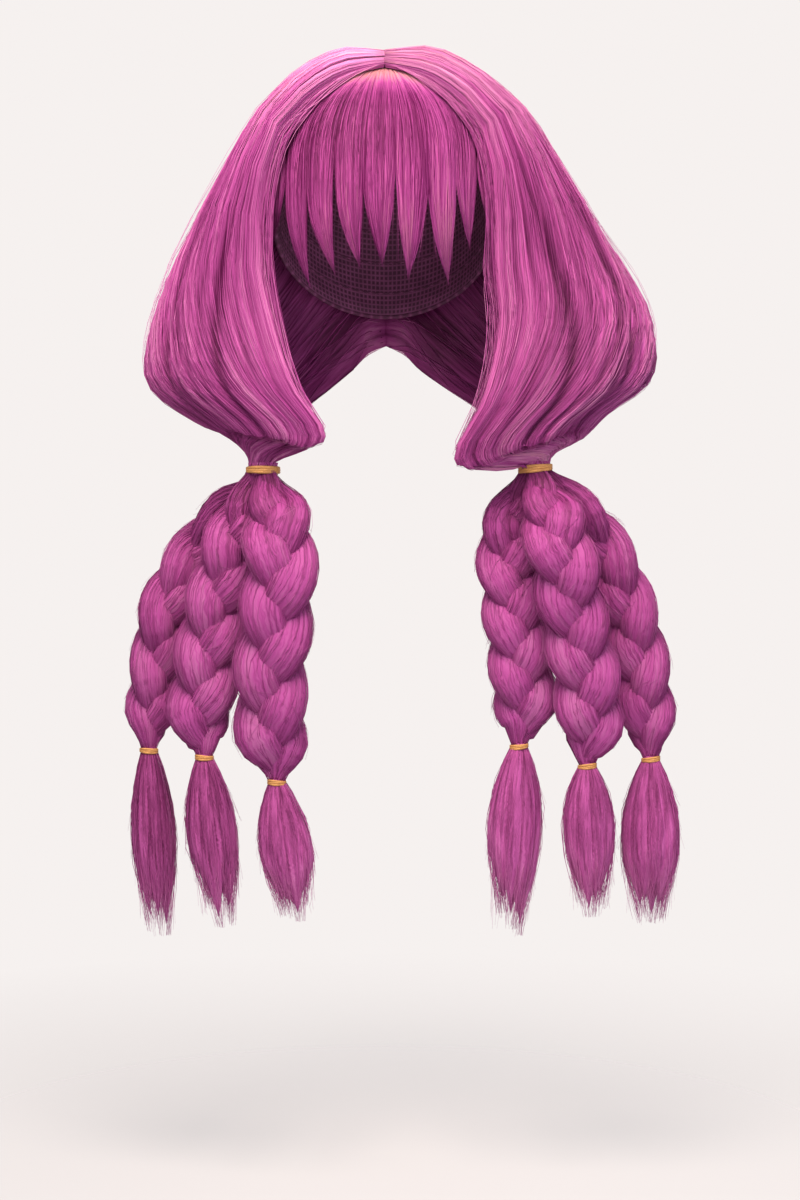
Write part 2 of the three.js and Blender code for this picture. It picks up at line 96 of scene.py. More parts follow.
class NoiseLayer(Enum):
    """Layers of the noise space, so that patterns over each other differ."""

    FIBRE = 0.0
    CRIMP = 2.0
    LOCK = 4.0
    WEAR = 7.0


def smooth(value: Numbers) -> Array:
    """Eases a value from 0 to 1, flat at both ends."""
    held = np.clip(value, 0.0, 1.0)
    return held * held * (3.0 - 2.0 * held)


def mix(start: Numbers, end: Numbers, share: Numbers) -> Array:
    """Value between start and end at a share of the way."""
    return start + (end - start) * share


def unit(vectors: Array) -> Array:
    """Vectors scaled to length one along their last axis."""
    return vectors / np.maximum(np.linalg.norm(vectors, axis=-1, keepdims=True), TINY)


def mm(values: Any) -> Array:
    """A table of millimetres as an array in metres."""
    return np.asarray(values, dtype=float) * MM


def ramp(value: Numbers, start: Numbers, span: float) -> Array:
    """Eases from 0 at a start to 1 a span further on."""
    return smooth((value - start) / span)


def row_of(count: int) -> Array:
    """Even places from 0 to 1 along a hair, as a row."""
    return np.linspace(0.0, 1.0, count)[None, :]


def circle(corners: int) -> Array:
    """Angles of even corners round a full turn."""
    return TAU * np.arange(corners) / corners


def spread(count: int, rng: Rng) -> Array:
    """Uneven places from 0 to 1, one in each of count equal steps."""
    return (np.arange(count) + rng.random(count)) / count


def drawn(rng: Rng, span: Span, count: int) -> Array:
    """A random number within a span for each of count hairs, as a column."""
    return rng.uniform(*span, (count, 1))


def wall_faces(index: Array) -> Array:
    """Four-cornered faces between closed rings of point numbers, by ring and corner."""
    ahead = np.roll(index, -1, axis=-1)
    corners = [index[..., :-1, :], ahead[..., :-1, :], ahead[..., 1:, :], index[..., 1:, :]]
    return np.stack(corners, axis=-1)


def wall_flow(at: Array) -> Array:
    """Flow at the four corners of each face of a grid, from the flow at its points."""
    corners = [at[:-1, :-1], at[:-1, 1:], at[1:, 1:], at[1:, :-1]]
    return np.stack(corners, axis=2).reshape(-1, 4, 2)


class Route:
    """Smooth curve through points, spaced by the distances between them."""

    FINE_STEPS = 240

    def __init__(self, points: Array) -> None:
        """Sets up the curve.

        Args:
            points: Rows of X, Y, Z in metres.
        """
        first = 2 * points[0] - points[1]
        last = 2 * points[-1] - points[-2]
        self.points = np.vstack([first, points, last])
        self.gaps = np.sqrt(np.linalg.norm(np.diff(self.points, axis=0), axis=1))[:, None]
        self.spans = len(points) - 1
        self.fine = np.linspace(0.0, 1.0, self.FINE_STEPS)
        steps = np.linalg.norm(np.diff(self.by_row(self.fine), axis=0), axis=1)
        self.lengths = np.concatenate([[0.0], np.cumsum(steps)])
        self.length = float(self.lengths[-1])

    def by_row(self, share: Numbers) -> Array:
        """Points at shares of the rows.

        Args:
            share: 0 at the first row and 1 at the last.

        Returns:
            Points with the shape of share and one more axis.
        """
        place = np.clip(share, 0.0, 1.0) * self.spans
        row = np.minimum(np.floor(place).astype(int), self.spans - 1)
        along = (place - row)[..., None]
        p0, p1, p2, p3 = (self.points[row + k] for k in range(4))
        d0, d1, d2 = (self.gaps[row + k] for k in range(3))
        m1 = ((p1 - p0) / d0 - (p2 - p0) / (d0 + d1) + (p2 - p1) / d1) * d1
        m2 = ((p2 - p1) / d1 - (p3 - p1) / (d1 + d2) + (p3 - p2) / d2) * d1
        cubic = 2 * p1 - 2 * p2 + m1 + m2
        square = -3 * p1 + 3 * p2 - 2 * m1 - m2
        return p1 + along * (m1 + along * (square + along * cubic))

    def by_length(self, place: Numbers) -> Array:
        """Points at lengths along the curve, in metres."""
        return self.by_row(np.interp(place, self.lengths, self.fine))


class Skin:
    """Gathers closed forms and makes one mesh of them, with flow coordinates along the hair."""

    def __init__(self) -> None:
        """Starts with nothing gathered."""
        self.points: list[Array] = []
        self.corners: list[Array] = []
        self.sizes: list[Array] = []
        self.flow: list[Array] = []
        self.painted_shading: list[Array] = []
        self.count = 0

    def add(self, points: Array, groups: Sequence[tuple[Array, Array]], painted_shading: Numbers = 0.0) -> None:
        """Adds closed forms and turns their faces outward.

        Args:
            points: Corner points, one a row.
            groups: Pairs of faces, with one row of point numbers each, and their flow coordinates.
            painted_shading: Painted shade on each point's colour; below zero it paints a highlight.
        """
        flip = sum(self.volume(points, faces) for faces, _ in groups) < 0
        for faces, flow in groups:
            step = -1 if flip else 1
            self.corners.append((faces[:, ::step] + self.count).ravel())
            self.sizes.append(np.full(len(faces), faces.shape[1]))
            self.flow.append(flow[:, ::step].reshape(-1, 2))
        self.points.append(points)
        self.painted_shading.append(np.broadcast_to(painted_shading, len(points)))
        self.count += len(points)

    @staticmethod
    def volume(points: Array, faces: Array) -> float:
        """Signed volume, times six, between the origin and faces with equal corner counts."""
        first = points[faces[:, 0]]
        total = 0.0
        for k in range(1, faces.shape[1] - 1):
            total += float(np.sum(first * np.cross(points[faces[:, k]], points[faces[:, k + 1]])))
        return total

    def tube(self, rings: Array, flow_v: Array, turns: float = 1.0, painted_shading: Numbers = 0.0) -> None:
        """Adds a tube closed at both ends.

        Args:
            rings: Points by station, corner and axis.
            flow_v: Flow along the tube at each station.
            turns: How far the flow runs around the tube.
            painted_shading: Painted shade on each point's colour; below zero it paints a highlight.
        """
        stations, corners, _ = rings.shape
        index = np.arange(stations * corners).reshape(stations, corners)
        u = np.broadcast_to(np.arange(corners + 1) / corners * turns, (stations, corners + 1))
        at = np.stack([u, np.broadcast_to(flow_v[:, None], u.shape)], axis=-1)
        ends = np.stack([index[0, ::-1], index[-1]])
        groups = [(wall_faces(index).reshape(-1, 4), wall_flow(at)), (ends, at[[0, -1], :-1])]
        self.add(rings.reshape(-1, 3), groups, np.broadcast_to(painted_shading, (stations, corners)).ravel())

    def fibres(
        self, paths: Array, radii: Array, tones: Array, flow_v: Array, painted_shading: Numbers = 0.0,
    ) -> None:
        """Adds thin closed prisms along many paths.

        Args:
            paths: Points by fibre, station and axis.
            radii: Half thickness by fibre and station.
            tones: Flow across, one for each fibre.
            flow_v: Flow along, by fibre and station.
            painted_shading: Painted shade on each station's colour; below zero it paints a highlight.
        """
        count, stations, _ = paths.shape
        heading = unit(np.gradient(paths, axis=1))
        upright = np.abs(heading[:, 0, 2:]) > STEEP
        side = np.cross(heading[:, 0], np.where(upright, SIDEWAYS, UP))
        sides = np.empty_like(paths)
        for k in range(stations):
            side = unit(side - np.sum(side * heading[:, k], axis=-1, keepdims=True) * heading[:, k])
            sides[:, k] = side
        other = np.cross(heading, sides)
        angle = circle(FIBRE_SIDES)[:, None]
        ring = np.cos(angle) * sides[:, :, None] + np.sin(angle) * other[:, :, None]
        points = paths[:, :, None] + radii[:, :, None, None] * ring
        index = np.arange(count * stations * FIBRE_SIDES).reshape(count, stations, FIBRE_SIDES)
        quads = wall_faces(index)
        u = np.broadcast_to(tones[:, None, None, None], quads.shape)
        before, after = flow_v[:, :-1, None], flow_v[:, 1:, None]
        v = np.broadcast_to(np.stack([before, before, after, after], axis=-1), quads.shape)
        around = np.stack([u, v], axis=-1).reshape(-1, 4, 2)
        ends = np.concatenate([index[:, 0, ::-1], index[:, -1]])
        end_u = np.concatenate([tones, tones])[:, None]
        end_v = np.concatenate([flow_v[:, :1], flow_v[:, -1:]])
        end_flow = np.concatenate([end_u, end_v], axis=1)[:, None].repeat(FIBRE_SIDES, axis=1)
        deep = np.broadcast_to(painted_shading, (count, stations)).repeat(FIBRE_SIDES)
        self.add(points.reshape(-1, 3), [(quads.reshape(-1, 4), around), (ends, end_flow)], deep)

    def make(self, name: str, finish: bpy.types.Material, slot: Slot, *nodes: str) -> None:
        """Makes the mesh object, dresses it and lets it ride on the wig.

        Args:
            name: Name of the piece.
            finish: Its material.
            slot: Its material slot in the record; not used.
            nodes: CAD nodes that it stands for.
        """
        corners, sizes = np.concatenate(self.corners), np.concatenate(self.sizes)
        mesh = bpy.data.meshes.new(name)
        mesh.vertices.add(self.count)
        mesh.vertices.foreach_set("co", np.concatenate(self.points).astype(np.float32).ravel())
        mesh.loops.add(len(corners))
        mesh.loops.foreach_set("vertex_index", corners.astype(np.int32))
        mesh.polygons.add(len(sizes))
        starts = np.concatenate([[0], np.cumsum(sizes)[:-1]])
        mesh.polygons.foreach_set("loop_start", starts.astype(np.int32))
        mesh.polygons.foreach_set("use_smooth", np.ones(len(sizes), dtype=bool))
        layer = mesh.uv_layers.new(name=FLOW)
        layer.uv.foreach_set("vector", np.concatenate(self.flow).astype(np.float32).ravel())
        # Painted shade for the hair's colour, with painted highlights below zero.
        shading_paint = mesh.attributes.new(PAINTED_SHADING, "FLOAT", "POINT")
        shading_paint.data.foreach_set("value", np.concatenate(self.painted_shading).astype(np.float32))
        mesh.update(calc_edges=True)
        mesh.materials.append(finish)
        piece = bpy.data.objects.new(name, mesh)
        bpy.context.scene.collection.objects.link(piece)
        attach(piece, BODY)
        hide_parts(*nodes)
        log.info("%s: %d triangles", name, int(np.sum(sizes - 2)))


class Value:
    """A shader socket that takes part in arithmetic. Each operation adds a Math node."""

    def __init__(self, graph: Graph, socket: bpy.types.NodeSocket) -> None:
        """Keeps the socket and the graph it belongs to."""
        self.graph = graph
        self.socket = socket

    def __add__(self, other: Term) -> Value:
        """Sum of two values."""
        return self.graph.maths("ADD", self, other)

    def __radd__(self, other: Term) -> Value:
        """Sum with a number on the left."""
        return self.graph.maths("ADD", other, self)

    def __sub__(self, other: Term) -> Value:
        """Difference of two values."""
        return self.graph.maths("SUBTRACT", self, other)

    def __mul__(self, other: Term) -> Value:
        """Product of two values."""
        return self.graph.maths("MULTIPLY", self, other)


Term = Union[Value, float]


class Graph:
    """Node tree of one material or world."""

    def __init__(self, tree: bpy.types.NodeTree) -> None:
        """Takes over a node tree and empties it."""
        self.tree = tree
        tree.nodes.clear()

    def node(self, kind: str, settings: dict[str, Any], inputs: dict[Any, Any]) -> bpy.types.Node:
        """Adds a node.

        Args:
            kind: Type of the node.
            settings: Its properties, and under stops the places and colours of a ramp.
            inputs: Values or links of its sockets.

        Returns:
            The new node.
        """
        made = self.tree.nodes.new(kind)
        for key, value in settings.items():
            if key == "stops":
                self.set_stops(made.color_ramp, value)
            else:
                setattr(made, key, value)
        for key, value in inputs.items():
            if isinstance(value, Value):
                self.tree.links.new(value.socket, made.inputs[key])
            else:
                made.inputs[key].default_value = value
        return made

    @staticmethod
    def set_stops(band: bpy.types.ColorRamp, stops: Sequence[tuple[float, Colour]]) -> None:
        """Gives a colour ramp its stops."""
        while len(band.elements) < len(stops):
            band.elements.new(1.0)
        for element, (place, colour) in zip(band.elements, stops):
            element.position = place
            element.color = colour

    def value(self, kind: str, settings: dict[str, Any], inputs: dict[Any, Any], output: Any = 0) -> Value:
        """Adds a node and returns one of its outputs."""
        return Value(self, self.node(kind, settings, inputs).outputs[output])

    def maths(self, operation: str, left: Term, right: Term) -> Value:
        """Adds a Math node on two values."""
        return self.value("ShaderNodeMath", {"operation": operation}, {0: left, 1: right})

    def vector(self, x: Term, y: Term, z: Term) -> Value:
        """Three values as one vector."""
        return self.value("ShaderNodeCombineXYZ", {}, {"X": x, "Y": y, "Z": z})

    def flow(self) -> tuple[Value, Value]:
        """Flow coordinates of the hair, across and along."""
        place = self.value("ShaderNodeUVMap", {"uv_map": FLOW}, {})
        split = self.node("ShaderNodeSeparateXYZ", {}, {"Vector": place})
        return Value(self, split.outputs["X"]), Value(self, split.outputs["Y"])

    def noise(self, place: Value, detail: float, roughness: float = 0.5) -> Value:
        """Smooth noise from 0 to 1 at a place."""
        inputs = {"Vector": place, "Scale": 1.0, "Detail": detail, "Roughness": roughness}
        return self.value("ShaderNodeTexNoise", {"noise_dimensions": "3D"}, inputs)

    def surface(self, shader: bpy.types.Node, output: str = "ShaderNodeOutputMaterial") -> None:
        """Ends the tree in a shader."""
        self.node(output, {}, {"Surface": Value(self, shader.outputs[0])})

    def dress(
        self, tone: Value, stops: Sequence[tuple[float, Colour]], height: Value, relief: Relief,
        inputs: dict[str, Any],
    ) -> None:
        """Ends the tree in a shader with a ramp of colours and a relief.

        Args:
            tone: Place on the ramp.
            stops: Places and colours of the ramp.
            height: Height of the relief, 0 to 1.
            relief: Strength and depth of the relief.
            inputs: Values or links of the shader's other sockets.
        """
        strength, depth = relief
        bump = {"Height": height, "Strength": strength, "Distance": depth}
        dressed = {
            "Base Color": self.value("ShaderNodeValToRGB", {"stops": stops}, {"Fac": tone}),
            "Normal": self.value("ShaderNodeBump", {}, bump),
            **inputs,
        }
        self.surface(self.node("ShaderNodeBsdfPrincipled", {}, dressed))


def new_material(name: str) -> tuple[bpy.types.Material, Graph]:
    """An empty node material and its graph."""
    material = bpy.data.materials.new(name)
    material.use_nodes = True
    return material, Graph(material.node_tree)


@dataclass(frozen=True)
class HairFinish:
    """Glossy synthetic fibre with streaks along its flow, and painted shade and highlights from the mesh."""

    name: str
    deep: Colour = (0.09, 0.002, 0.052, 1.0)
    middle: Colour = (0.39, 0.060, 0.262, 1.0)
    light: Colour = (0.58, 0.20, 0.41, 1.0)
    # Colour of painted highlights at the top of the ramp: the sheen at the crown, the glint at the fringe's
    # root and the light at the tails' ends.
    painted_sheen: Colour = (0.64, 0.27, 0.32, 1.0)
    gloss_tint: Colour = (1.0, 0.66, 0.74, 1.0)
    tone_places: tuple[float, ...] = (0.16, 0.5, 0.78, 1.0)
    tone_base: float = 0.08
    fibre_density: float = 6.5
    fibre_pace: float = 2.5
    fibre_contrast: float = 1.0
    fibre_detail: float = 4.0
    fibre_roughness: float = 0.7
    lock_density: float = 0.75
    lock_pace: float = 1.4
    lock_contrast: float = 0.9
    lock_detail: float = 2.0
    crimp: float = 0.0
    crimp_density: float = 3.0
    crimp_pace: float = 45.0
    crimp_detail: float = 1.0
    # How far the painted shade and highlights move the colour.
    painted_shading_weight: float = 0.4
    specular: float = 0.32
    roughness: float = 0.41
    roughness_spread: float = 0.2
    relief: Relief = (0.9, 0.9 * MM)

    def make(self) -> bpy.types.Material:
        """Builds the material."""
        material, graph = new_material(self.name)
        across, along = graph.flow()
        place = graph.vector(across * self.crimp_density, along * self.crimp_pace, NoiseLayer.CRIMP.value)
        wave = graph.noise(place, self.crimp_detail)
        waved = across + (wave - NOISE_MIDDLE) * self.crimp
        place = graph.vector(waved * self.fibre_density, along * self.fibre_pace, NoiseLayer.FIBRE.value)
        fibre = graph.noise(place, self.fibre_detail, self.fibre_roughness)
        place = graph.vector(across * self.lock_density, along * self.lock_pace, NoiseLayer.LOCK.value)
        lock = graph.noise(place, self.lock_detail)
        # Painted shade darkens the tone; below zero it lightens it as a painted highlight.
        shading_paint = graph.value("ShaderNodeAttribute", {"attribute_name": PAINTED_SHADING}, {}, "Fac")
        streak = fibre - NOISE_MIDDLE
        tone = streak * self.fibre_contrast + lock * self.lock_contrast + self.tone_base
        stops = list(zip(self.tone_places, (self.deep, self.middle, self.light, self.painted_sheen)))
        inputs = {
            "Roughness": self.roughness + streak * self.roughness_spread,
            "Specular IOR Level": self.specular,
            "Specular Tint": self.gloss_tint,
        }
        graph.dress(tone - shading_paint * self.painted_shading_weight, stops, fibre, self.relief, inputs)
        return material


@dataclass(frozen=True)
class ElasticFinish:
    """Covered elastic: fine thread ribs along a matt ochre cord."""

    name: str
    dark: Colour = (0.30, 0.12, 0.035, 1.0)
    bright: Colour = (0.62, 0.30, 0.09, 1.0)
    tone_places: Span = (0.3, 0.68)
    ribs: float = 9.0
    rib_pace: float = 90.0
    rib_contrast: float = 0.6
    rib_detail: float = 1.0
    wear_density: float = 2.0
    wear_pace: float = 12.0
    wear_contrast: float = 0.5
    wear_detail: float = 2.0
    roughness: float = 0.55
    worn_roughness: float = 0.25
    relief: Relief = (0.6, 0.2 * MM)

    def make(self) -> bpy.types.Material:
        """Builds the material."""
        material, graph = new_material(self.name)
        across, along = graph.flow()
        place = graph.vector(across * self.ribs, along * self.rib_pace, NoiseLayer.FIBRE.value)
        thread = graph.noise(place, self.rib_detail)
        place = graph.vector(across * self.wear_density, along * self.wear_pace, NoiseLayer.WEAR.value)
        worn = graph.noise(place, self.wear_detail)
        tone = thread * self.rib_contrast + worn * self.wear_contrast
        stops = list(zip(self.tone_places, (self.dark, self.bright)))
        inputs = {"Roughness": self.roughness + worn * self.worn_roughness}
        graph.dress(tone, stops, thread, self.relief, inputs)
        return material


@dataclass(frozen=True)
class NetFinish:
    """Stretch net of the cap: a fine grid of threads over darker holes."""

    name: str
    hole: Colour = (0.09, 0.018, 0.06, 1.0)
    thread: Colour = (0.36, 0.10, 0.25, 1.0)
    tone_places: Span = (0.45, 0.9)
    tone_base: float = -0.05
    meshes_around: float = 150.0
    meshes_down: float = 60.0
    grid_contrast: float = 0.7
    wear_around: float = 40.0
    wear_down: float = 22.0
    wear_contrast: float = 0.4
    wear_detail: float = 2.0
    roughness: float = 0.62
    worn_roughness: float = 0.3
    relief: Relief = (0.6, 0.4 * MM)

    def make(self) -> bpy.types.Material:
        """Builds the material."""
        material, graph = new_material(self.name)
        across, along = graph.flow()
        half_mesh = 0.5
        warp = graph.maths("PINGPONG", across * self.meshes_around, half_mesh)
        weft = graph.maths("PINGPONG", along * self.meshes_down, half_mesh)
        grid = graph.maths("MAXIMUM", warp, weft) * (1.0 / half_mesh)
        place = graph.vector(across * self.wear_around, along * self.wear_down, NoiseLayer.FIBRE.value)
        uneven = graph.noise(place, self.wear_detail)
        tone = grid * self.grid_contrast + uneven * self.wear_contrast + self.tone_base
        stops = list(zip(self.tone_places, (self.hole, self.thread)))
        inputs = {"Roughness": self.roughness + uneven * self.worn_roughness}
        graph.dress(tone, stops, grid, self.relief, inputs)
        return material


@dataclass(frozen=True)
class FloorFinish:
    """Plain pale floor that fades out with distance."""

    name: str
    colour: Colour = (0.5, 0.48, 0.49, 1.0)
    roughness: float = 0.7
    fade_from: float = -0.35
    fade_to: float = 0.75

    def make(self) -> bpy.types.Material:
        """Builds the material."""
        material, graph = new_material(self.name)
        place = graph.value("ShaderNodeTexCoord", {}, {}, "Object")
        reach = graph.value("ShaderNodeVectorMath", {"operation": "LENGTH"}, {0: place}, "Value")
        far = (reach - self.fade_from) * (1.0 / (self.fade_to - self.fade_from))
        plain = {"Base Color": self.colour, "Roughness": self.roughness}
        near = graph.node("ShaderNodeBsdfPrincipled", {}, plain)
        clear = graph.node("ShaderNodeBsdfTransparent", {}, {})
        held = graph.value("ShaderNodeClamp", {}, {"Value": far})
        links = {0: held, 1: Value(graph, near.outputs[0]), 2: Value(graph, clear.outputs[0])}
        graph.surface(graph.node("ShaderNodeMixShader", {}, links))
        return material


@dataclass(frozen=True)
class Head:
    """Ellipsoid of the head that the cap fits."""

    half_breadth: float = 74 * MM
    half_length: float = 95 * MM
    crown_height: float = 112 * MM
    centre_y: float = 5 * MM

    @property
    def centre(self) -> Array:
        """Middle of the ellipsoid."""
        return np.array([0.0, self.centre_y, -self.crown_height])

    def radii(self, lift: Numbers) -> Array:
        """Half sizes of the ellipsoid at a lift above the scalp."""
        half_sizes = np.array([self.half_breadth, self.half_length, self.crown_height])
        return half_sizes + np.asarray(lift)[..., None]

    def point(self, around: Array, down: Array, lift: Numbers) -> Array:
        """Points on the lifted ellipsoid.

        Args:
            around: Angle from the front towards the wearer's left.
            down: Angle from the crown.
            lift: Height above the scalp.

        Returns:
            Points with one more axis than the angles.
        """
        x = np.sin(down) * np.sin(around)
        y = -np.sin(down) * np.cos(around)
        ray = np.stack(np.broadcast_arrays(x, y, np.cos(down)), axis=-1)
        return self.centre + self.radii(lift) * ray

    def front(self, x: Array, z: Array, lift: Numbers) -> Array:
        """Points on the front of the lifted ellipsoid at given X and Z."""
        radii = self.radii(lift)
        level = np.clip((z - self.centre[2]) / radii[..., 2], -1.0, 1.0)
        reach = np.sqrt(np.maximum(1.0 - level * level, TINY))
        sideways = np.clip(x / (radii[..., 0] * reach), -1.0, 1.0)
        y = self.centre_y - radii[..., 1] * reach * np.sqrt(1.0 - sideways * sideways)
        return np.stack(np.broadcast_arrays(sideways * radii[..., 0] * reach, y, z), axis=-1)

    def push_out(self, points: Array, lift: Numbers, softness: float) -> Array:
        """Moves points out to at least a lift above the scalp, with a soft transition."""
        offset = points - self.centre
        depth = np.linalg.norm(offset / self.radii(lift), axis=-1)
        wanted = (depth + 1.0 + np.hypot(depth - 1.0, softness)) / 2.0
        return self.centre + offset * (wanted / depth)[..., None]


HEAD = Head()


class Section(NamedTuple):
    """One section of the side hair, from the face round to the nape, in millimetres."""

    front: Point
    outer: Point
    back: Point
    wall: float


SECTIONS = {
    Side.LEFT: (
        Section((0.0, -52, -9), (0.0, 0, 4), (0.0, 102, -181), 5),
        Section((25, -57, -15), (30, 3, 9), (6, 100, -183.5), 7),
        Section((47, -58.5, -27), (60, 6, -3), (14, 101, -188), 8),
        Section((67, -58.5, -50), (96, 8, -32), (26, 98, -200), 8),
        Section((75, -58.5, -91), (122, 6, -72), (42, 92, -212), 8),
        Section((75, -60, -134), (153, 2, -120), (58, 80, -224), 9),
        Section((78, -64, -176), (181, -6, -174), (72, 60, -236), 9),
        Section((67, -70, -222), (179, -15, -211), (84, 31, -247), 9),
        Section((48, -68, -262), (147, -31, -236), (92, -3, -250), 7),
        Section((62, -65, -274), (131, -42, -252), (98, -28, -259), 5),
        Section((92.4, -56.4, -270), (108.2, -50, -270), (100.5, -41.2, -270), 3),
    ),
    Side.RIGHT: (
        Section((0.0, -52, -9), (0.0, 0, 4), (0.0, 102, -181), 5),
        Section((-26, -57, -15), (-29, 3, 8), (-6, 100, -183.5), 7),
        Section((-48, -58, -27), (-57, 6, -4), (-14, 101, -188), 8),
        Section((-71, -57.5, -51), (-87, 8, -32), (-26, 98, -200), 8),
        Section((-82, -57.5, -91), (-111, 6, -72), (-40, 92, -212), 8),
        Section((-84, -60, -134), (-136, 2, -120), (-53, 80, -224), 9),
        Section((-75, -64, -176), (-157, -6, -173), (-64, 60, -236), 9),
        Section((-61, -70, -215), (-160, -15, -214), (-70, 31, -247), 9),
        Section((-41, -68, -248), (-128, -31, -240), (-74, -3, -251), 7),
        Section((-53, -64, -261), (-102, -44, -253), (-79, -28, -260), 5),
        Section((-73.4, -56.4, -271), (-89.2, -50, -271), (-81.5, -41.2, -271), 3),
    ),
}
TIES = {Side.LEFT: mm((99, -50, -273)), Side.RIGHT: mm((-80, -50, -274))}
# Painted shade on the fan below the roll: it darkens the right side's fan, and below zero it paints the left
# side's fan lighter, where it catches the light.
FAN_SHADE = {Side.LEFT: -0.4, Side.RIGHT: 0.12}


class Wave(NamedTuple):
    """A gentle wave over the hair: its height, its turns across and down, and where it starts."""

    height: float
    across: float
    down: float = 0.0
    start: float = 0.0


def waved(waves: Sequence[Wave], share: Array, down: Array) -> Array:
    """Sum of waves at places on the hair."""
    total = 0.0
    for wave in waves:
        total = total + wave.height * np.sin(TAU * (wave.across * share + wave.down * down + wave.start))
    return total


@dataclass(frozen=True)
class Comb:
    """How the strands on the outside of the loose hair lie. Rises and radii are in millimetres."""

    count: int = 815
    steps: tuple[int, ...] = (5, 4, 10, 8)
    groups: int = 34
    group_slope: float = 0.014
    own_slope: float = 0.004
    level_at: float = 0.25
    group_rise: Span = (-0.5, 1.0)
    own_rise: Span = (-0.3, 0.6)
    late_share: float = 0.22
    late_root: Span = (0.03, 0.4)
    late_depth: float = 3.0 * MM
    late_rise: float = 0.08
    sway: float = 0.0045
    sway_pace: Span = (0.8, 1.2)
    sway_grown: float = 0.2
    loose_share: float = 0.07
    loose_rise: Span = (1.0, 4.0)
    loose_thinness: float = 0.5
    rise_at_tie: float = 0.35
    flattening: Span = (0.8, 0.2)
    radius: Span = (0.13, 0.36)
    radius_bias: float = 1.6
    radius_at_tie: float = 0.7
    thinning: Span = (0.75, 0.25)
    radius_at_root: float = 0.75
    root_taper: float = 8.0
    # Painted shade on strands that lie lower, for each millimetre.
    low_hair_shade: float = 0.1
    tone_spread: float = 0.008


@dataclass(frozen=True)
class RimStrands:
    """The strands round the edge beside the face. Rises and radii are in millimetres."""

    count: int = 90
    sway: float = 0.06
    sway_pace: float = 1.3
    rise: Span = (-0.3, 0.7)
    radius: Span = (0.15, 0.28)
    tones: float = 2.5
    tone_spread: float = 0.5


@dataclass(frozen=True)
class EdgeHairs:
    """The fine hairs that stray from the edge beside the face. Radii are in millimetres."""

    count: int = 120
    stations: int = 15
    ends: Span = (0.3, 0.92)
    turn: Span = (0.2, 1.0)
    stray: float = 11 * MM
    stray_bias: float = 1.6
    stray_roundness: float = 1.2
    clear: float = 9.8 * MM
    radius: Span = (0.1, 0.24)
    tip: Span = (0.8, 0.2)
    tip_radius: float = 0.4
    tones: float = 3.0


@dataclass(frozen=True)
class LiningStrands:
    """The strands on the hollow side. Heights and radii are in millimetres."""

    count: int = 200
    stations: int = 13
    start: float = 0.06
    sway: float = 0.012
    sway_pace: float = 0.9
    proud: Span = (-0.2, 0.5)
    radius: Span = (0.3, 0.5)
    tone_spread: float = 0.01
    # How much less painted shade these strands carry than the hollow side under them.
    painted_lightening: float = 0.1


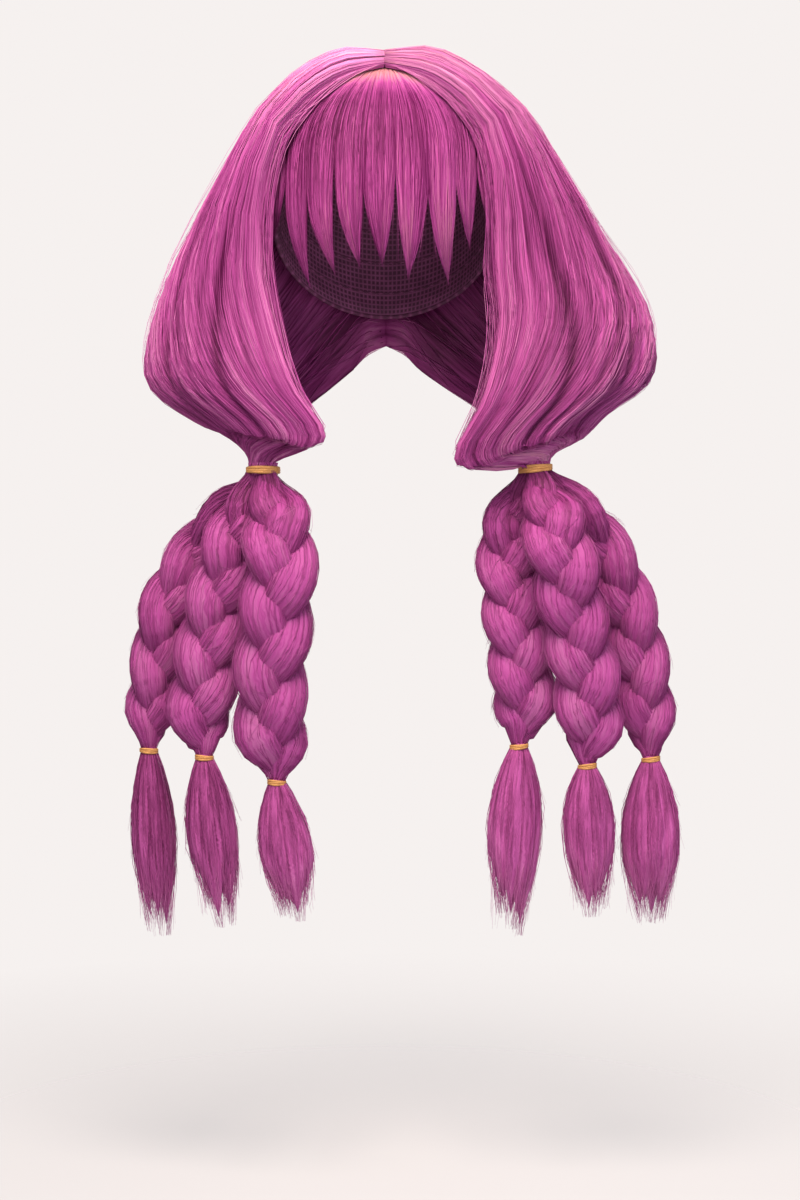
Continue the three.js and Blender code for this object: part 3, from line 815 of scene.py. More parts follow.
@dataclass
class SideHair:
    """One half of the loose hair: a thick shell of locks from the parting to the bunch tie."""

    side: Side
    outer_share: float = 0.45
    back_roundness: float = 0.86
    lift_parting: float = 5.5 * MM
    lift_front: float = 11.8 * MM
    lift_back: float = 11.5 * MM
    inside_front: float = 9.6 * MM
    inside_back: float = 2.6 * MM
    outside_softness: float = 0.05
    inside_softness: float = 0.02
    parting_share: float = 0.14
    front_share: float = 0.3
    parting_gap: float = -0.2 * MM
    collar: float = 9.1 * MM
    collar_from: Span = (0.9, 0.1)
    level_marks: tuple[float, ...] = (0.0, 0.22, 0.52, 0.8, 1.0)
    broad_locks: int = 7
    broad_height: float = 3.9 * MM
    broad_edge: float = 0.5
    broad_grown: Span = (0.1, 0.35)
    broad_falling: Span = (0.7, 0.2)
    broad_at_tie: float = 0.15
    broad_waves: tuple[Wave, ...] = (Wave(0.03, 1.3, 0.0, 0.15), Wave(0.016, 2.3, 0.7))
    fine_locks: int = 25
    fine_height: float = 1.9 * MM
    fine_edge: float = 0.6
    fine_grown: Span = (0.0, 0.12)
    fine_falling: Span = (0.75, 0.25)
    fine_at_tie: float = 0.2
    fine_waves: tuple[Wave, ...] = (Wave(0.012, 3.0, 0.0, 0.2), Wave(0.007, 7.0, 1.1))
    roll_height: float = 12 * MM
    roll_sag: float = 0.4
    roll_grown: Span = (0.46, 0.3)
    roll_back: Span = (0.12, 0.3)
    roll_edge: float = 0.83
    roll_drop: float = 0.05
    roll_waves: tuple[Wave, ...] = (Wave(0.012, 3.1, 0.0, 0.1), Wave(0.008, 7.3))
    sweep: float = 0.17
    sweep_grown: Span = (0.36, 0.44)
    sweep_falling: Span = (0.84, 0.14)
    sweep_share: float = 0.75
    sink: float = 0.6 * MM
    # Painted shade on the outside: under the strands, between the broad and fine locks, and on the fan below
    # the roll.
    body_shade: float = 0.1
    hollow_shade: float = 0.7
    groove_shade: float = 0.5
    groove_grown: Span = (0.2, 0.4)
    fan_down: Span = (0.85, 0.04)
    fan_back: Span = (0.25, 0.3)
    # Painted shade on the hollow side and across the rim, darker towards the inside.
    lining_shade: float = 0.6
    rim_shade: Span = (0.05, 0.4)
    rim_bulge: float = 0.4
    rim_flow: float = 0.06
    # Painted sheen near the front of the parting: its share on the rim and its full strength.
    rim_sheen: float = 0.4
    crown_sheen: float = 0.6
    crown_down: Span = (0.12, 0.34)
    crown_back: Span = (0.3, 0.4)
    slope_step: float = 0.006
    columns: int = 112
    rim_columns: int = 5
    body_steps: tuple[int, ...] = (15, 10, 22, 13)
    flow_width: float = 22.0
    tie_flow: float = 1.02
    comb: Comb = Comb()
    rim_strands: RimStrands = RimStrands()
    edge_hairs: EdgeHairs = EdgeHairs()
    lining_strands: LiningStrands = LiningStrands()

    def __post_init__(self) -> None:
        """Makes the guide curves."""
        rows = SECTIONS[self.side]
        self.edges = [Route(mm([getattr(row, edge) for row in rows])) for edge in ("front", "outer", "back")]
        self.walls = mm([row.wall for row in rows])
        self.rows = np.linspace(0.0, 1.0, len(rows))

    def levels(self, steps: Sequence[int]) -> Array:
        """Places from the parting to the tie, close together at the crown and where the hair turns under.

        Args:
            steps: How many steps each of the four stretches has.

        Returns:
            Places from 0 to 1.
        """
        stretches = zip(self.level_marks[:-1], self.level_marks[1:], steps)
        return np.concatenate([*(np.linspace(a, b, n, endpoint=False) for a, b, n in stretches), [1.0]])

    def face_side(self, share: Array) -> Array:
        """1 at the face and 0 further back."""
        return 1.0 - smooth(share / self.front_share)

    def surface(self, share: Array, down: Array) -> Array:
        """Points on the smooth outside.

        Args:
            share: 0 at the face edge and 1 at the nape edge.
            down: 0 at the parting and 1 at the tie.

        Returns:
            Points with one more axis.
        """
        share, down = np.clip(np.broadcast_arrays(share, down), 0.0, 1.0)
        front, outer, back = (np.moveaxis(edge.by_row(down), -1, 0) for edge in self.edges)
        fore = np.clip(share / self.outer_share, 0.0, 1.0) * math.pi / 2
        aft = np.clip((share - self.outer_share) / (1.0 - self.outer_share), 0.0, 1.0) * math.pi / 2
        bow, bend = np.sin(fore), np.cos(fore)
        inward = np.maximum(np.cos(aft), 0.0) ** self.back_roundness
        behind = np.sin(aft) ** self.back_roundness
        ahead = [mix(front[0], outer[0], bow), mix(outer[1], front[1], bend), mix(front[2], outer[2], bow)]
        rear = [
            mix(back[0], outer[0], inward),
            mix(outer[1], back[1], behind),
            mix(outer[2], back[2], 1.0 - inward),
        ]
        is_ahead = (share < self.outer_share)[..., None]
        raw = np.where(is_ahead, np.stack(ahead, axis=-1), np.stack(rear, axis=-1))
        full = mix(self.lift_back, self.lift_front, self.face_side(share))
        lift = mix(self.lift_parting, full, smooth(down / self.parting_share))
        points = HEAD.push_out(raw, lift, self.outside_softness)
        points = points + self.roll(share, down)[..., None] * np.array([0.0, -1.0, -self.roll_sag])
        return self.into_collar(points, down)

    def into_collar(self, points: Array, down: Array) -> Array:
        """Draws the lower end onto a circle inside the bunch tie."""
        off = points - TIES[self.side]
        off[..., 2] = 0.0
        reach = np.maximum(np.linalg.norm(off, axis=-1, keepdims=True), TINY)
        pulled = off * (self.collar / reach - 1.0)
        return points + pulled * ramp(down, *self.collar_from)[..., None]

    def outward(self, share: Array, down: Array) -> Array:
        """Unit vectors out of the hair."""
        step = self.slope_step
        along = self.surface(share, down + step) - self.surface(share, down - step)
        round_head = self.surface(share + step, down) - self.surface(share - step, down)
        return unit(np.cross(along, round_head)) * self.side.sign

    def forward(self, down: Array) -> Array:
        """Unit vectors out of the edge beside the face."""
        edge = np.zeros_like(down)
        return unit(self.surface(edge, down) - self.surface(edge + self.slope_step, down))

    def hollow(self, share: Array, down: Array) -> Array:
        """How deep a place lies between the broad locks, 0 to 1."""
        turn = math.pi * self.broad_locks * (share + waved(self.broad_waves, share, down))
        between = 1.0 - np.abs(np.sin(turn)) ** self.broad_edge
        left = mix(1.0, self.broad_at_tie, ramp(down, *self.broad_falling))
        return between * ramp(down, *self.broad_grown) * left

    def groove(self, share: Array, down: Array) -> Array:
        """How deep a place lies between the fine locks, 0 to 1."""
        turn = math.pi * self.fine_locks * (share + waved(self.fine_waves, share, down))
        return 1.0 - np.abs(np.sin(turn)) ** self.fine_edge

    def ridge(self, share: Array, down: Array) -> Array:
        """Height of the locks, never above zero, with grooves between them."""
        left = mix(1.0, self.fine_at_tie, ramp(down, *self.fine_falling))
        fine = self.fine_height * ramp(down, *self.fine_grown) * left
        return -fine * self.groove(share, down) - self.broad_height * self.hollow(share, down)

    def crown(self, share: Numbers, down: Array) -> Array:
        """Painted sheen: how much paler the hair is drawn towards the front of the parting."""
        near = 1.0 - ramp(down, *self.crown_down)
        return self.crown_sheen * near * (1.0 - ramp(share, *self.crown_back))

    def shade(self, share: Array, down: Array) -> Array:
        """Painted shade between the locks and under the roll in front, less the painted sheen at the crown.
        """
        under = ramp(down, *self.fan_down) * (1.0 - ramp(share, *self.fan_back))
        painted_groove_shade = self.groove_shade * self.groove(share, down) * ramp(down, *self.groove_grown)
        shading_paint = self.hollow_shade * self.hollow(share, down)
        return shading_paint + FAN_SHADE[self.side] * under + painted_groove_shade - self.crown(share, down)

    def roll(self, share: Array, down: Array) -> Array:
        """How far the front of the hair hangs forward before it turns under."""
        edge = self.roll_edge + waved(self.roll_waves, share, down)
        held = 1.0 - ramp(down, edge, self.roll_drop)
        return self.roll_height * ramp(down, *self.roll_grown) * held * (1.0 - ramp(share, *self.roll_back))

    def lean(self, share: Array, down: Array) -> Array:
        """How far strands lean towards the face where they turn under."""
        grown = ramp(down, *self.sweep_grown) * (1.0 - ramp(down, *self.sweep_falling))
        return self.sweep * grown * np.sin(math.pi * np.clip(share / self.sweep_share, 0.0, 1.0))

    def off_parting(self, points: Array) -> Array:
        """Keeps points on their own side of the middle plane."""
        sign = self.side.sign
        points[..., 0] = sign * np.maximum(sign * points[..., 0], self.parting_gap)
        return points

    def outside(self, share: Array, down: Array, rise: Numbers) -> Array:
        """Points on the locks, raised by a height."""
        height = (self.ridge(share, down) + rise)[..., None]
        return self.off_parting(self.surface(share, down) + self.outward(share, down) * height)

    def inside(self, share: Array, down: Array) -> Array:
        """Points on the hollow side of the wall."""
        wall = np.interp(down, self.rows, self.walls)[..., None]
        deep = self.surface(share, down) - self.outward(share, down) * wall
        hollow = mix(self.inside_back, self.inside_front, self.face_side(share))
        lift = mix(self.inside_back, hollow, smooth(down / self.parting_share))
        return self.off_parting(HEAD.push_out(deep, lift, self.inside_softness))

    def rim(self, turn: Array, down: Array, rise: Numbers) -> Array:
        """Points on the rounded edge beside the face.

        Args:
            turn: 0 at the outside and 1 at the inside.
            down: 0 at the parting and 1 at the tie.
            rise: Height above the edge.

        Returns:
            Points with one more axis.
        """
        edge = np.zeros_like(down)
        outer = self.outside(edge, down, 0.0)
        inner = self.inside(edge, down)
        width = np.linalg.norm(outer - inner, axis=-1)
        bulge = self.rim_bulge * width * np.sin(math.pi * turn) + rise
        return self.off_parting(mix(outer, inner, turn[..., None]) + self.forward(down) * bulge[..., None])

    def body(self) -> Skin:
        """The closed shell under the strands."""
        down = self.levels(self.body_steps)[:, None]
        shares, downs = np.broadcast_arrays(row_of(self.columns), down)
        outer = self.outside(shares, downs, -self.sink)
        inner = self.inside(shares, downs)
        turn = np.linspace(1.0, 0.0, self.rim_columns + 2)[None, 1:-1]
        turns, rim_downs = np.broadcast_arrays(turn, down)
        rim = self.rim(turns, rim_downs, -self.sink)
        rings = np.concatenate([outer, inner[:, ::-1], rim], axis=1)
        index = np.arange(rings.shape[0] * rings.shape[1]).reshape(rings.shape[:2])
        leaning = shares + self.lean(shares, downs)
        edge = np.linspace(-self.rim_flow, 0.0, self.rim_columns + 1)[None, :] + 0.0 * down
        u = np.concatenate([leaning, leaning[:, ::-1], edge], axis=1) * self.flow_width
        flow = wall_flow(np.stack([u, np.broadcast_to(down, u.shape)], axis=-1))
        strips, loops = [], []
        for row, step in ((index[0], -1), (index[-1], 1)):
            out, into = row[: self.columns], row[self.columns : 2 * self.columns][::-1]
            strips.append(np.stack([out[:-1], out[1:], into[1:], into[:-1]], axis=-1)[:, ::step])
            loops.append(np.concatenate([row[:1], row[2 * self.columns - 1 :]])[::step])
        groups = [(wall_faces(index).reshape(-1, 4), flow)]
        for faces in (np.concatenate(strips), np.stack(loops)):
            groups.append((faces, np.zeros((*faces.shape, 2))))
        # Painted shade: on the outside between the locks, over the whole hollow side and across the rim, less
        # where the crown's painted sheen reaches.
        shades = [
            self.body_shade + self.shade(shares, downs),
            np.full(inner.shape[:2], self.lining_shade),
            mix(*self.rim_shade, turns) - self.rim_sheen * self.crown(0.0, rim_downs),
        ]
        skin = Skin()
        skin.add(rings.reshape(-1, 3), groups, np.concatenate(shades, axis=1).ravel())
        return skin

    def into_tie(self, paths: Array) -> Array:
        """Adds a last station to paths, inside the bunch tie."""
        end = paths[:, -1:].copy()
        end[..., 2] = TIES[self.side][2]
        return np.concatenate([paths, end], axis=1)

    def flow_to_tie(self, down: Array) -> Array:
        """Flow along strands that end inside the bunch tie."""
        return np.concatenate([down, np.full((len(down), 1), self.tie_flow)], axis=1)

    def combed(self, rng: Rng) -> Skin:
        """The strands on the outside and round the edge beside the face."""
        comb = self.comb
        count, groups = comb.count, comb.groups
        start = spread(count, rng)
        group = np.minimum((start * groups).astype(int), groups - 1)
        slope = rng.normal(0.0, comb.group_slope, groups)[group] + rng.normal(0.0, comb.own_slope, count)
        raised = rng.uniform(*comb.group_rise, groups)[group] * MM + rng.uniform(*comb.own_rise, count) * MM
        later = rng.random(count) < comb.late_share
        root = np.where(later, rng.uniform(*comb.late_root, count), 0.0)[:, None]
        along = self.levels(comb.steps)[None, :]
        down = root + (1.0 - root) * along
        phase, pace = rng.random((2, count, 1))
        least, more = comb.sway_pace
        sway = comb.sway * np.sin(TAU * (down * (least + more * pace) + phase))
        sway = sway * smooth(down / comb.sway_grown)
        share = start[:, None] + slope[:, None] * (down - comb.level_at) + sway
        share = np.clip(share - self.lean(share, down), 0.0, 1.0)
        buried = np.where(later[:, None], comb.late_depth * (1.0 - ramp(down, root, comb.late_rise)), 0.0)
        loose = np.where(rng.random(count) < comb.loose_share, rng.uniform(*comb.loose_rise, count), 0.0) * MM
        lifted = raised[:, None] - buried + loose[:, None] * np.sin(math.pi * along) ** 2
        fade = mix(1.0, comb.rise_at_tie, ramp(down, *comb.flattening))
        paths = self.into_tie(self.outside(share, down, lifted * fade))
        thick = mix(*comb.radius, rng.random(count) ** comb.radius_bias)
        thick = thick * np.where(loose > 0, comb.loose_thinness, 1.0) * MM
        taper = mix(1.0, comb.radius_at_tie, ramp(down, *comb.thinning))
        radii = thick[:, None] * taper * mix(comb.radius_at_root, 1.0, smooth(along * comb.root_taper))
        # Painted shade of the place, darker for strands that lie lower.
        deep = self.shade(share, down) - comb.low_hair_shade * raised[:, None] / MM
        radii, deep = (np.concatenate([rows, rows[:, -1:]], axis=1) for rows in (radii, deep))
        tones = (start + rng.normal(0.0, comb.tone_spread, count)) * self.flow_width
        skin = Skin()
        skin.fibres(paths, radii, tones, self.flow_to_tie(down), deep)
        self.add_rim(skin, rng)
        self.add_edge(skin, rng)
        return skin

    def add_rim(self, skin: Skin, rng: Rng) -> None:
        """Adds the strands round the edge beside the face."""
        strands = self.rim_strands
        count = strands.count
        along = self.levels(self.comb.steps)[None, :]
        turn = spread(count, rng)
        sway = strands.sway * np.sin(TAU * (along * strands.sway_pace + rng.random((count, 1))))
        turns = turn[:, None] + sway
        downs = np.broadcast_to(along, turns.shape)
        rise = drawn(rng, strands.rise, count) * MM + np.zeros_like(downs)
        paths = self.into_tie(self.rim(np.clip(turns, 0.0, 1.0), downs, rise))
        radii = np.broadcast_to(drawn(rng, strands.radius, count) * MM, paths.shape[:2])
        flow_v = self.flow_to_tie(downs)
        tones = -strands.tones * turn + rng.normal(0.0, strands.tone_spread, count)
        # Painted shade across the rim, darker towards the inside, less where the crown's painted sheen
        # reaches.
        deep = (self.rim_shade[1] * turn)[:, None] - self.rim_sheen * self.crown(0.0, flow_v)
        skin.fibres(paths, radii, tones, flow_v, deep)

    def add_edge(self, skin: Skin, rng: Rng) -> None:
        """Adds the fine hairs that stray from the edge over the fringe."""
        hairs = self.edge_hairs
        count = hairs.count
        along = row_of(hairs.stations)
        down = drawn(rng, hairs.ends, count) * along
        turn = np.broadcast_to(drawn(rng, hairs.turn, count), down.shape)
        far = rng.random((count, 1)) ** hairs.stray_bias * hairs.stray
        stray = far * np.sin(math.pi * along) ** hairs.stray_roundness
        paths = self.rim(turn, down, 0.0 * down) + self.forward(down) * stray[..., None]
        paths = self.off_parting(HEAD.push_out(paths, hairs.clear, self.inside_softness))
        thin = mix(1.0, hairs.tip_radius, ramp(along, *hairs.tip))
        radii = drawn(rng, hairs.radius, count) * MM * thin
        # The crown's painted sheen pales the stray hairs.
        painted_lightening = self.rim_sheen * self.crown(0.0, down)
        skin.fibres(paths, radii, -hairs.tones * rng.random(count), down, -painted_lightening)

    def lining(self, rng: Rng) -> Skin:
        """The strands on the hollow side."""
        strands = self.lining_strands
        count = strands.count
        start = spread(count, rng)
        down = np.linspace(strands.start, 1.0, strands.stations)[None, :].repeat(count, axis=0)
        sway = strands.sway * np.sin(TAU * (down * strands.sway_pace + rng.random((count, 1))))
        share = np.clip(start[:, None] + sway, 0.0, 1.0)
        proud = drawn(rng, strands.proud, count)[..., None] * MM
        paths = self.inside(share, down) - self.outward(share, down) * proud
        radii = np.broadcast_to(drawn(rng, strands.radius, count) * MM, paths.shape[:2])
        tones = (start + rng.normal(0.0, strands.tone_spread, count)) * self.flow_width
        skin = Skin()
        # The lining strands carry the hollow side's painted shade, a little less of it.
        skin.fibres(paths, radii, tones, down, self.lining_shade - strands.painted_lightening)
        return skin

    def dress(self, finish: bpy.types.Material, rng: Rng) -> None:
        """Makes the pieces of this half."""
        name, node = self.side.value, f"side_hair_{self.side.value}"
        self.body().make(f"loose_hair_{name}", finish, Slot.HAIR, node)
        self.combed(rng).make(f"loose_strands_{name}", finish, Slot.HAIR, node)
        self.lining(rng).make(f"inner_strands_{name}", finish, Slot.HAIR, node)


@dataclass
class Gather:
    """Hair drawn together through a bunch tie, flared above it and just below."""

    side: Side
    profile: tuple[Span, ...] = ((8.4, -3), (8.9, 0), (9.0, 3), (9.3, 5))
    flutes: int = 17
    flute_depth: float = 0.05
    sink: float = 0.4 * MM
    corners: int = 68
    levels: int = 8
    flow_turns: float = 6.0
    flow_length: float = 0.2
    strands: int = 100
    strand_twist: float = 0.12
    twist_pace: float = 2.0
    strand_rise: Span = (-0.2, 0.6)
    strand_radius: Span = (0.25, 0.4)

    def radius(self, height: Array) -> Array:
        """Radius of the gathered hair at heights above the tie's middle."""
        table = mm(self.profile)
        return np.interp(height, table[:, 1], table[:, 0])

    def dress(self, finish: bpy.types.Material, rng: Rng) -> None:
        """Makes the gathered hair of this side."""
        skin, tie = Skin(), TIES[self.side]
        heights = np.linspace(self.profile[0][1], self.profile[-1][1], self.levels) * MM
        flow_v = np.linspace(0.0, self.flow_length, self.levels)
        angle = circle(self.corners)
        fluted = 1.0 - self.flute_depth * (1.0 - np.abs(np.sin(self.flutes * angle / 2)))
        ring = np.stack([np.cos(angle) * fluted, np.sin(angle) * fluted, np.zeros_like(angle)], axis=-1)
        rings = tie + ring[None] * (self.radius(heights)[:, None, None] - self.sink)
        rings[..., 2] = tie[2] + heights[:, None]
        skin.tube(rings, flow_v, self.flow_turns)
        count = self.strands
        start = TAU * spread(count, rng)
        waver = np.sin(heights / heights[-1] * self.twist_pace + rng.uniform(0, TAU, (count, 1)))
        turn = start[:, None] + self.strand_twist * waver
        reach = self.radius(heights) + drawn(rng, self.strand_rise, count) * MM
        x, y = tie[0] + np.cos(turn) * reach, tie[1] + np.sin(turn) * reach
        paths = np.stack([x, y, np.broadcast_to(tie[2] + heights, x.shape)], axis=-1)
        radii = np.broadcast_to(drawn(rng, self.strand_radius, count) * MM, x.shape)
        skin.fibres(paths, radii, start / TAU * self.flow_turns, np.broadcast_to(flow_v, x.shape))
        skin.make(f"gather_{self.side.value}", finish, Slot.HAIR, f"side_hair_{self.side.value}")


class TailShape(NamedTuple):
    """Loose end of a braid below its tie, in millimetres."""

    tip: Point
    half_width: float
    half_depth: float
    fullest: float
    # Painted shade over the whole tail, for tails that lie in shade.
    tone: float


class BraidRow(NamedTuple):
    """One braid: its lane, its middle line in millimetres, its plait and its tail."""

    lane: str
    side: Side
    stem: tuple[float, float]
    route: tuple[Point, ...]
    end: Point
    half_width: float
    half_depth: float
    pitch: float
    phase_deg: float
    turn_deg: float
    tail: TailShape


# The last number of each tail is its painted shade.
BRAIDS = (
    BraidRow(
        "left_inner", Side.LEFT, (-5.2, 3.0),
        ((82, -49, -320), (85, -57, -365), (89, -60, -398), (91, -61, -437)), (88, -62, -455),
        21.5, 12, 100, 200, 8, TailShape((82, -62, -579), 17, 13, 0.42, 0.0),
    ),
    BraidRow(
        "left_middle", Side.LEFT, (0.4, -6.0),
        ((113, -80, -324), (123, -76, -372), (131, -74, -411), (134, -72, -448)), (132, -71, -467),
        22, 12, 108, 20, -4, TailShape((135, -70, -565), 16, 12.5, 0.4, 0.05),
    ),
    BraidRow(
        "left_outer", Side.LEFT, (5.2, 3.0),
        ((141, -46, -322), (159, -49, -362), (168, -52, -401), (173, -55, -443)), (175, -56, -464),
        20, 11.5, 112, 140, -24, TailShape((175, -56, -573), 19, 14, 0.48, 0.05),
    ),
    BraidRow(
        "right_inner", Side.RIGHT, (3.0, -5.2),
        ((-67, -80, -326), (-70, -82, -372), (-74, -80, -411), (-72, -78, -452)), (-70, -76, -477),
        24, 12.5, 122, 40, -6, TailShape((-58, -75, -567), 17, 12.5, 0.5, 0.05),
    ),
    BraidRow(
        "right_middle", Side.RIGHT, (-6.2, -0.4),
        ((-98, -58, -324), (-112, -60, -372), (-118, -62, -411), (-121, -63, -444)), (-118, -64, -462),
        22, 12, 112, 160, 6, TailShape((-107, -63, -573), 16, 12, 0.45, 0.24),
    ),
    BraidRow(
        "right_outer", Side.RIGHT, (3.0, 5.2),
        ((-115, -24, -314), (-143, -38, -360), (-151, -42, -405), (-155, -46, -441)), (-156, -48, -459),
        19, 11.5, 112, 280, 26, TailShape((-150, -47, -582), 14, 12, 0.45, 0.34),
    ),
)


@dataclass
class Braid:
    """Three crossing strands from the bunch tie to the braid's tie. Sizes of hairs are in millimetres."""

    row: BraidRow
    strands: int = 3
    strand_width: float = 0.56
    strand_depth: float = 0.62
    neck_top: float = 5.4 * MM
    neck_end: float = 3.9 * MM
    stem_scale: float = 0.7
    squareness: float = 0.75
    end_sway: float = 0.12
    stem_top: float = 3 * MM
    plait_start: float = 8 * MM
    stem_reach: float = 3 * MM
    fan_in: float = 46 * MM
    plait_in: float = 42 * MM
    ramp_out: float = 30 * MM
    # Painted shade below the bunch tie and at the strands' edges.
    shade_reach: float = 70 * MM
    tie_shade: float = 0.5
    strand_edge: Span = (0.72, 0.28)
    edge_shade: float = 0.15
    tie_zone: float = 2.35 * MM
    tie_height: float = 4 * MM
    leaf: float = 0.12
    leaf_deg: float = 120.0
    flow_turns: float = 6.2
    sink: float = 0.962
    corners: int = 24
    stations: int = 60
    slope: float = 0.6 * MM
    fibres: int = 54
    fibre_stations: int = 34
    fibre_turn: float = 0.9
    fibre_weave: float = 0.12
    weave_length: float = 14 * MM
    fibre_proud: Span = (0.985, 1.02)
    fibre_radius: Span = (0.12, 0.27)
    radius_bias: float = 1.5
    radius_at_tie: float = 0.8
    tone_spread: float = 0.15
    fuzz: int = 320
    fuzz_stations: int = 5
    fuzz_length: Span = (12, 30)
    fuzz_root: Span = (0.08, 0.9)
    fuzz_turn: float = 0.9
    fuzz_off: Span = (0.4, 2.8)
    fuzz_curve: float = 1.3
    fuzz_radius: Span = (0.1, 0.18)
    fuzz_tip: float = 0.5
    fuzz_tint: float = 0.4

    def __post_init__(self) -> None:
        """Makes the middle line."""
        tie = TIES[self.row.side]
        stem = np.array([*self.row.stem, 0.0]) * self.stem_scale * MM
        start = tie + stem - self.stem_top * UP
        end = mm(self.row.end)
        above = end + 2 * self.tie_height * UP
        self.line = Route(np.vstack([start, mm(self.row.route), above, end]))
        turn = math.radians(self.row.turn_deg)
        self.flat = np.array([math.cos(turn), math.sin(turn), 0.0])

    def middle(self, place: Array) -> Array:
        """Points on the middle line. A place below zero runs straight up into the bunch tie."""
        raised = np.maximum(-place, 0.0)[..., None] * UP
        return self.line.by_length(place) + raised

    def opening(self, place: Array) -> tuple[Array, Array]:
        """How far the strands have fanned out and how far the plait has grown, 0 at the ties."""
        to_end = self.line.length - place - self.tie_zone
        near = np.clip(np.minimum(place / self.fan_in, to_end / self.ramp_out), 0.0, 1.0)
        grown = np.minimum(smooth(place / self.plait_in), smooth(to_end / self.ramp_out))
        return 1.0 - (1.0 - near) ** 2, grown

    def centre(self, place: Array, strand: int) -> tuple[Array, Array, Array]:
        """Middle of a strand, the direction out of the front of the plait, and the strand's turn."""
        tangent = unit(self.middle(place + self.slope) - self.middle(place - self.slope))
        deep = unit(np.cross(tangent, self.flat))
        across = np.cross(deep, tangent)
        row = self.row
        turns = (place - self.plait_start) / (row.pitch * MM) + strand / self.strands
        angle = TAU * (turns + row.phase_deg / FULL_TURN_DEG)
        swing = mix(self.end_sway, 1.0, self.opening(place)[1])
        wide = swing * row.half_width * MM * (1.0 - self.strand_width) * np.sin(angle)
        far = -swing * row.half_depth * MM * (1.0 - self.strand_depth) * np.sin(2.0 * angle)
        return self.middle(place) + across * wide[..., None] + deep * far[..., None], deep, angle

    def outline(self, angle: Array) -> tuple[Array, Array]:
        """Places on the rounded flat outline of a strand, across it and out of it."""
        x, y = np.cos(angle), np.sin(angle)
        return np.sign(x) * np.abs(x) ** self.squareness, np.sign(y) * np.abs(y) ** self.squareness

    def points(
        self, place: Array, strand: int, angle: Array, scale: Numbers, off: Numbers = 0.0,
    ) -> Array:
        """Points round a strand.

        Args:
            place: Length along the braid's middle line.
            strand: Number of the strand.
            angle: Angle round the strand.
            scale: Size of the outline, 1 on the strand's own surface.
            off: How far the points stand off the surface.

        Returns:
            Points with one more axis.
        """
        centre, deep, turn = self.centre(place, strand)
        ahead, before = (self.centre(place + step, strand)[0] for step in (self.slope, -self.slope))
        heading = unit(ahead - before)
        across = unit(np.cross(deep, heading))
        facing = np.cross(heading, across)
        fanned, grown = self.opening(place)
        neck = mix(self.neck_top, self.neck_end, smooth(place / (2 * self.plait_in)))
        leaf = 1.0 + self.leaf * np.cos(2.0 * (turn - math.radians(self.leaf_deg))) * grown
        wide = mix(neck, self.row.half_width * MM * self.strand_width, fanned) * leaf
        thick = mix(neck, self.row.half_depth * MM * self.strand_depth, grown)
        x, y = self.outline(angle)
        sideways, out = (wide + off) * x * scale, (thick + off) * y * scale
        return centre + across * sideways[..., None] + facing * out[..., None]

    def shade(self, place: Array, angle: Array) -> Array:
        """Painted shade below the bunch tie and towards the edges of a strand."""
        under = 1.0 - smooth(place / self.shade_reach)
        edge = ramp(np.abs(self.outline(angle)[0]), *self.strand_edge)
        return self.edge_shade * edge + self.tie_shade * under

    def add_strand(self, skin: Skin, strand: int, rng: Rng) -> None:
        """Adds one strand's body and its fibres."""
        length = self.line.length
        place = np.linspace(-self.stem_reach, length, self.stations)[:, None]
        angle = circle(self.corners)
        rings = self.points(place, strand, angle, self.sink)
        skin.tube(rings, place[:, 0] / length + strand, self.flow_turns, self.shade(place, angle))
        count = self.fibres
        start = spread(count, rng)
        place = np.linspace(-self.stem_reach, length, self.fibre_stations)
        places = np.broadcast_to(place, (count, self.fibre_stations))
        twist = TAU * start[:, None] + self.fibre_turn * places / (self.row.pitch * MM)
        weave = np.sin(places / self.weave_length + rng.uniform(0, TAU, (count, 1)))
        twist = twist + self.fibre_weave * weave
        paths = self.points(places, strand, twist, drawn(rng, self.fibre_proud, count))
        thick = mix(*self.fibre_radius, rng.random((count, 1)) ** self.radius_bias) * MM
        radii = thick * mix(self.radius_at_tie, 1.0, self.opening(places)[0])
        tone = start * self.flow_turns + rng.normal(0.0, self.tone_spread, count)
        skin.fibres(paths, radii, tone, places / length + strand, self.shade(places, twist))

    def add_fuzz(self, skin: Skin, rng: Rng) -> None:
        """Adds short loose hairs that stand off the plait."""
        count = self.fuzz
        along = row_of(self.fuzz_stations)
        length = drawn(rng, self.fuzz_length, count) * MM
        places = drawn(rng, self.fuzz_root, count) * (self.line.length - length) + length * along
        twist = rng.uniform(0, TAU, (count, 1)) + rng.normal(0.0, self.fuzz_turn, (count, 1)) * along
        off = drawn(rng, self.fuzz_off, count) * MM * along ** self.fuzz_curve
        paths = np.empty((*places.shape, 3))
        for strand in range(self.strands):
            own = np.arange(count) % self.strands == strand
            paths[own] = self.points(places[own], strand, twist[own], 1.0, off[own])
        radii = drawn(rng, self.fuzz_radius, count) * MM * mix(1.0, self.fuzz_tip, along)
        tones = rng.random(count) * self.flow_turns
        skin.fibres(paths, radii, tones, places / self.line.length, -self.fuzz_tint)

    def dress(self, finish: bpy.types.Material, rng: Rng) -> None:
        """Makes the braid's piece."""
        skin = Skin()
        for strand in range(self.strands):
            self.add_strand(skin, strand, rng)
        self.add_fuzz(skin, rng)
        skin.make(f"plait_{self.row.lane}", finish, Slot.HAIR, f"braid_{self.row.lane}")


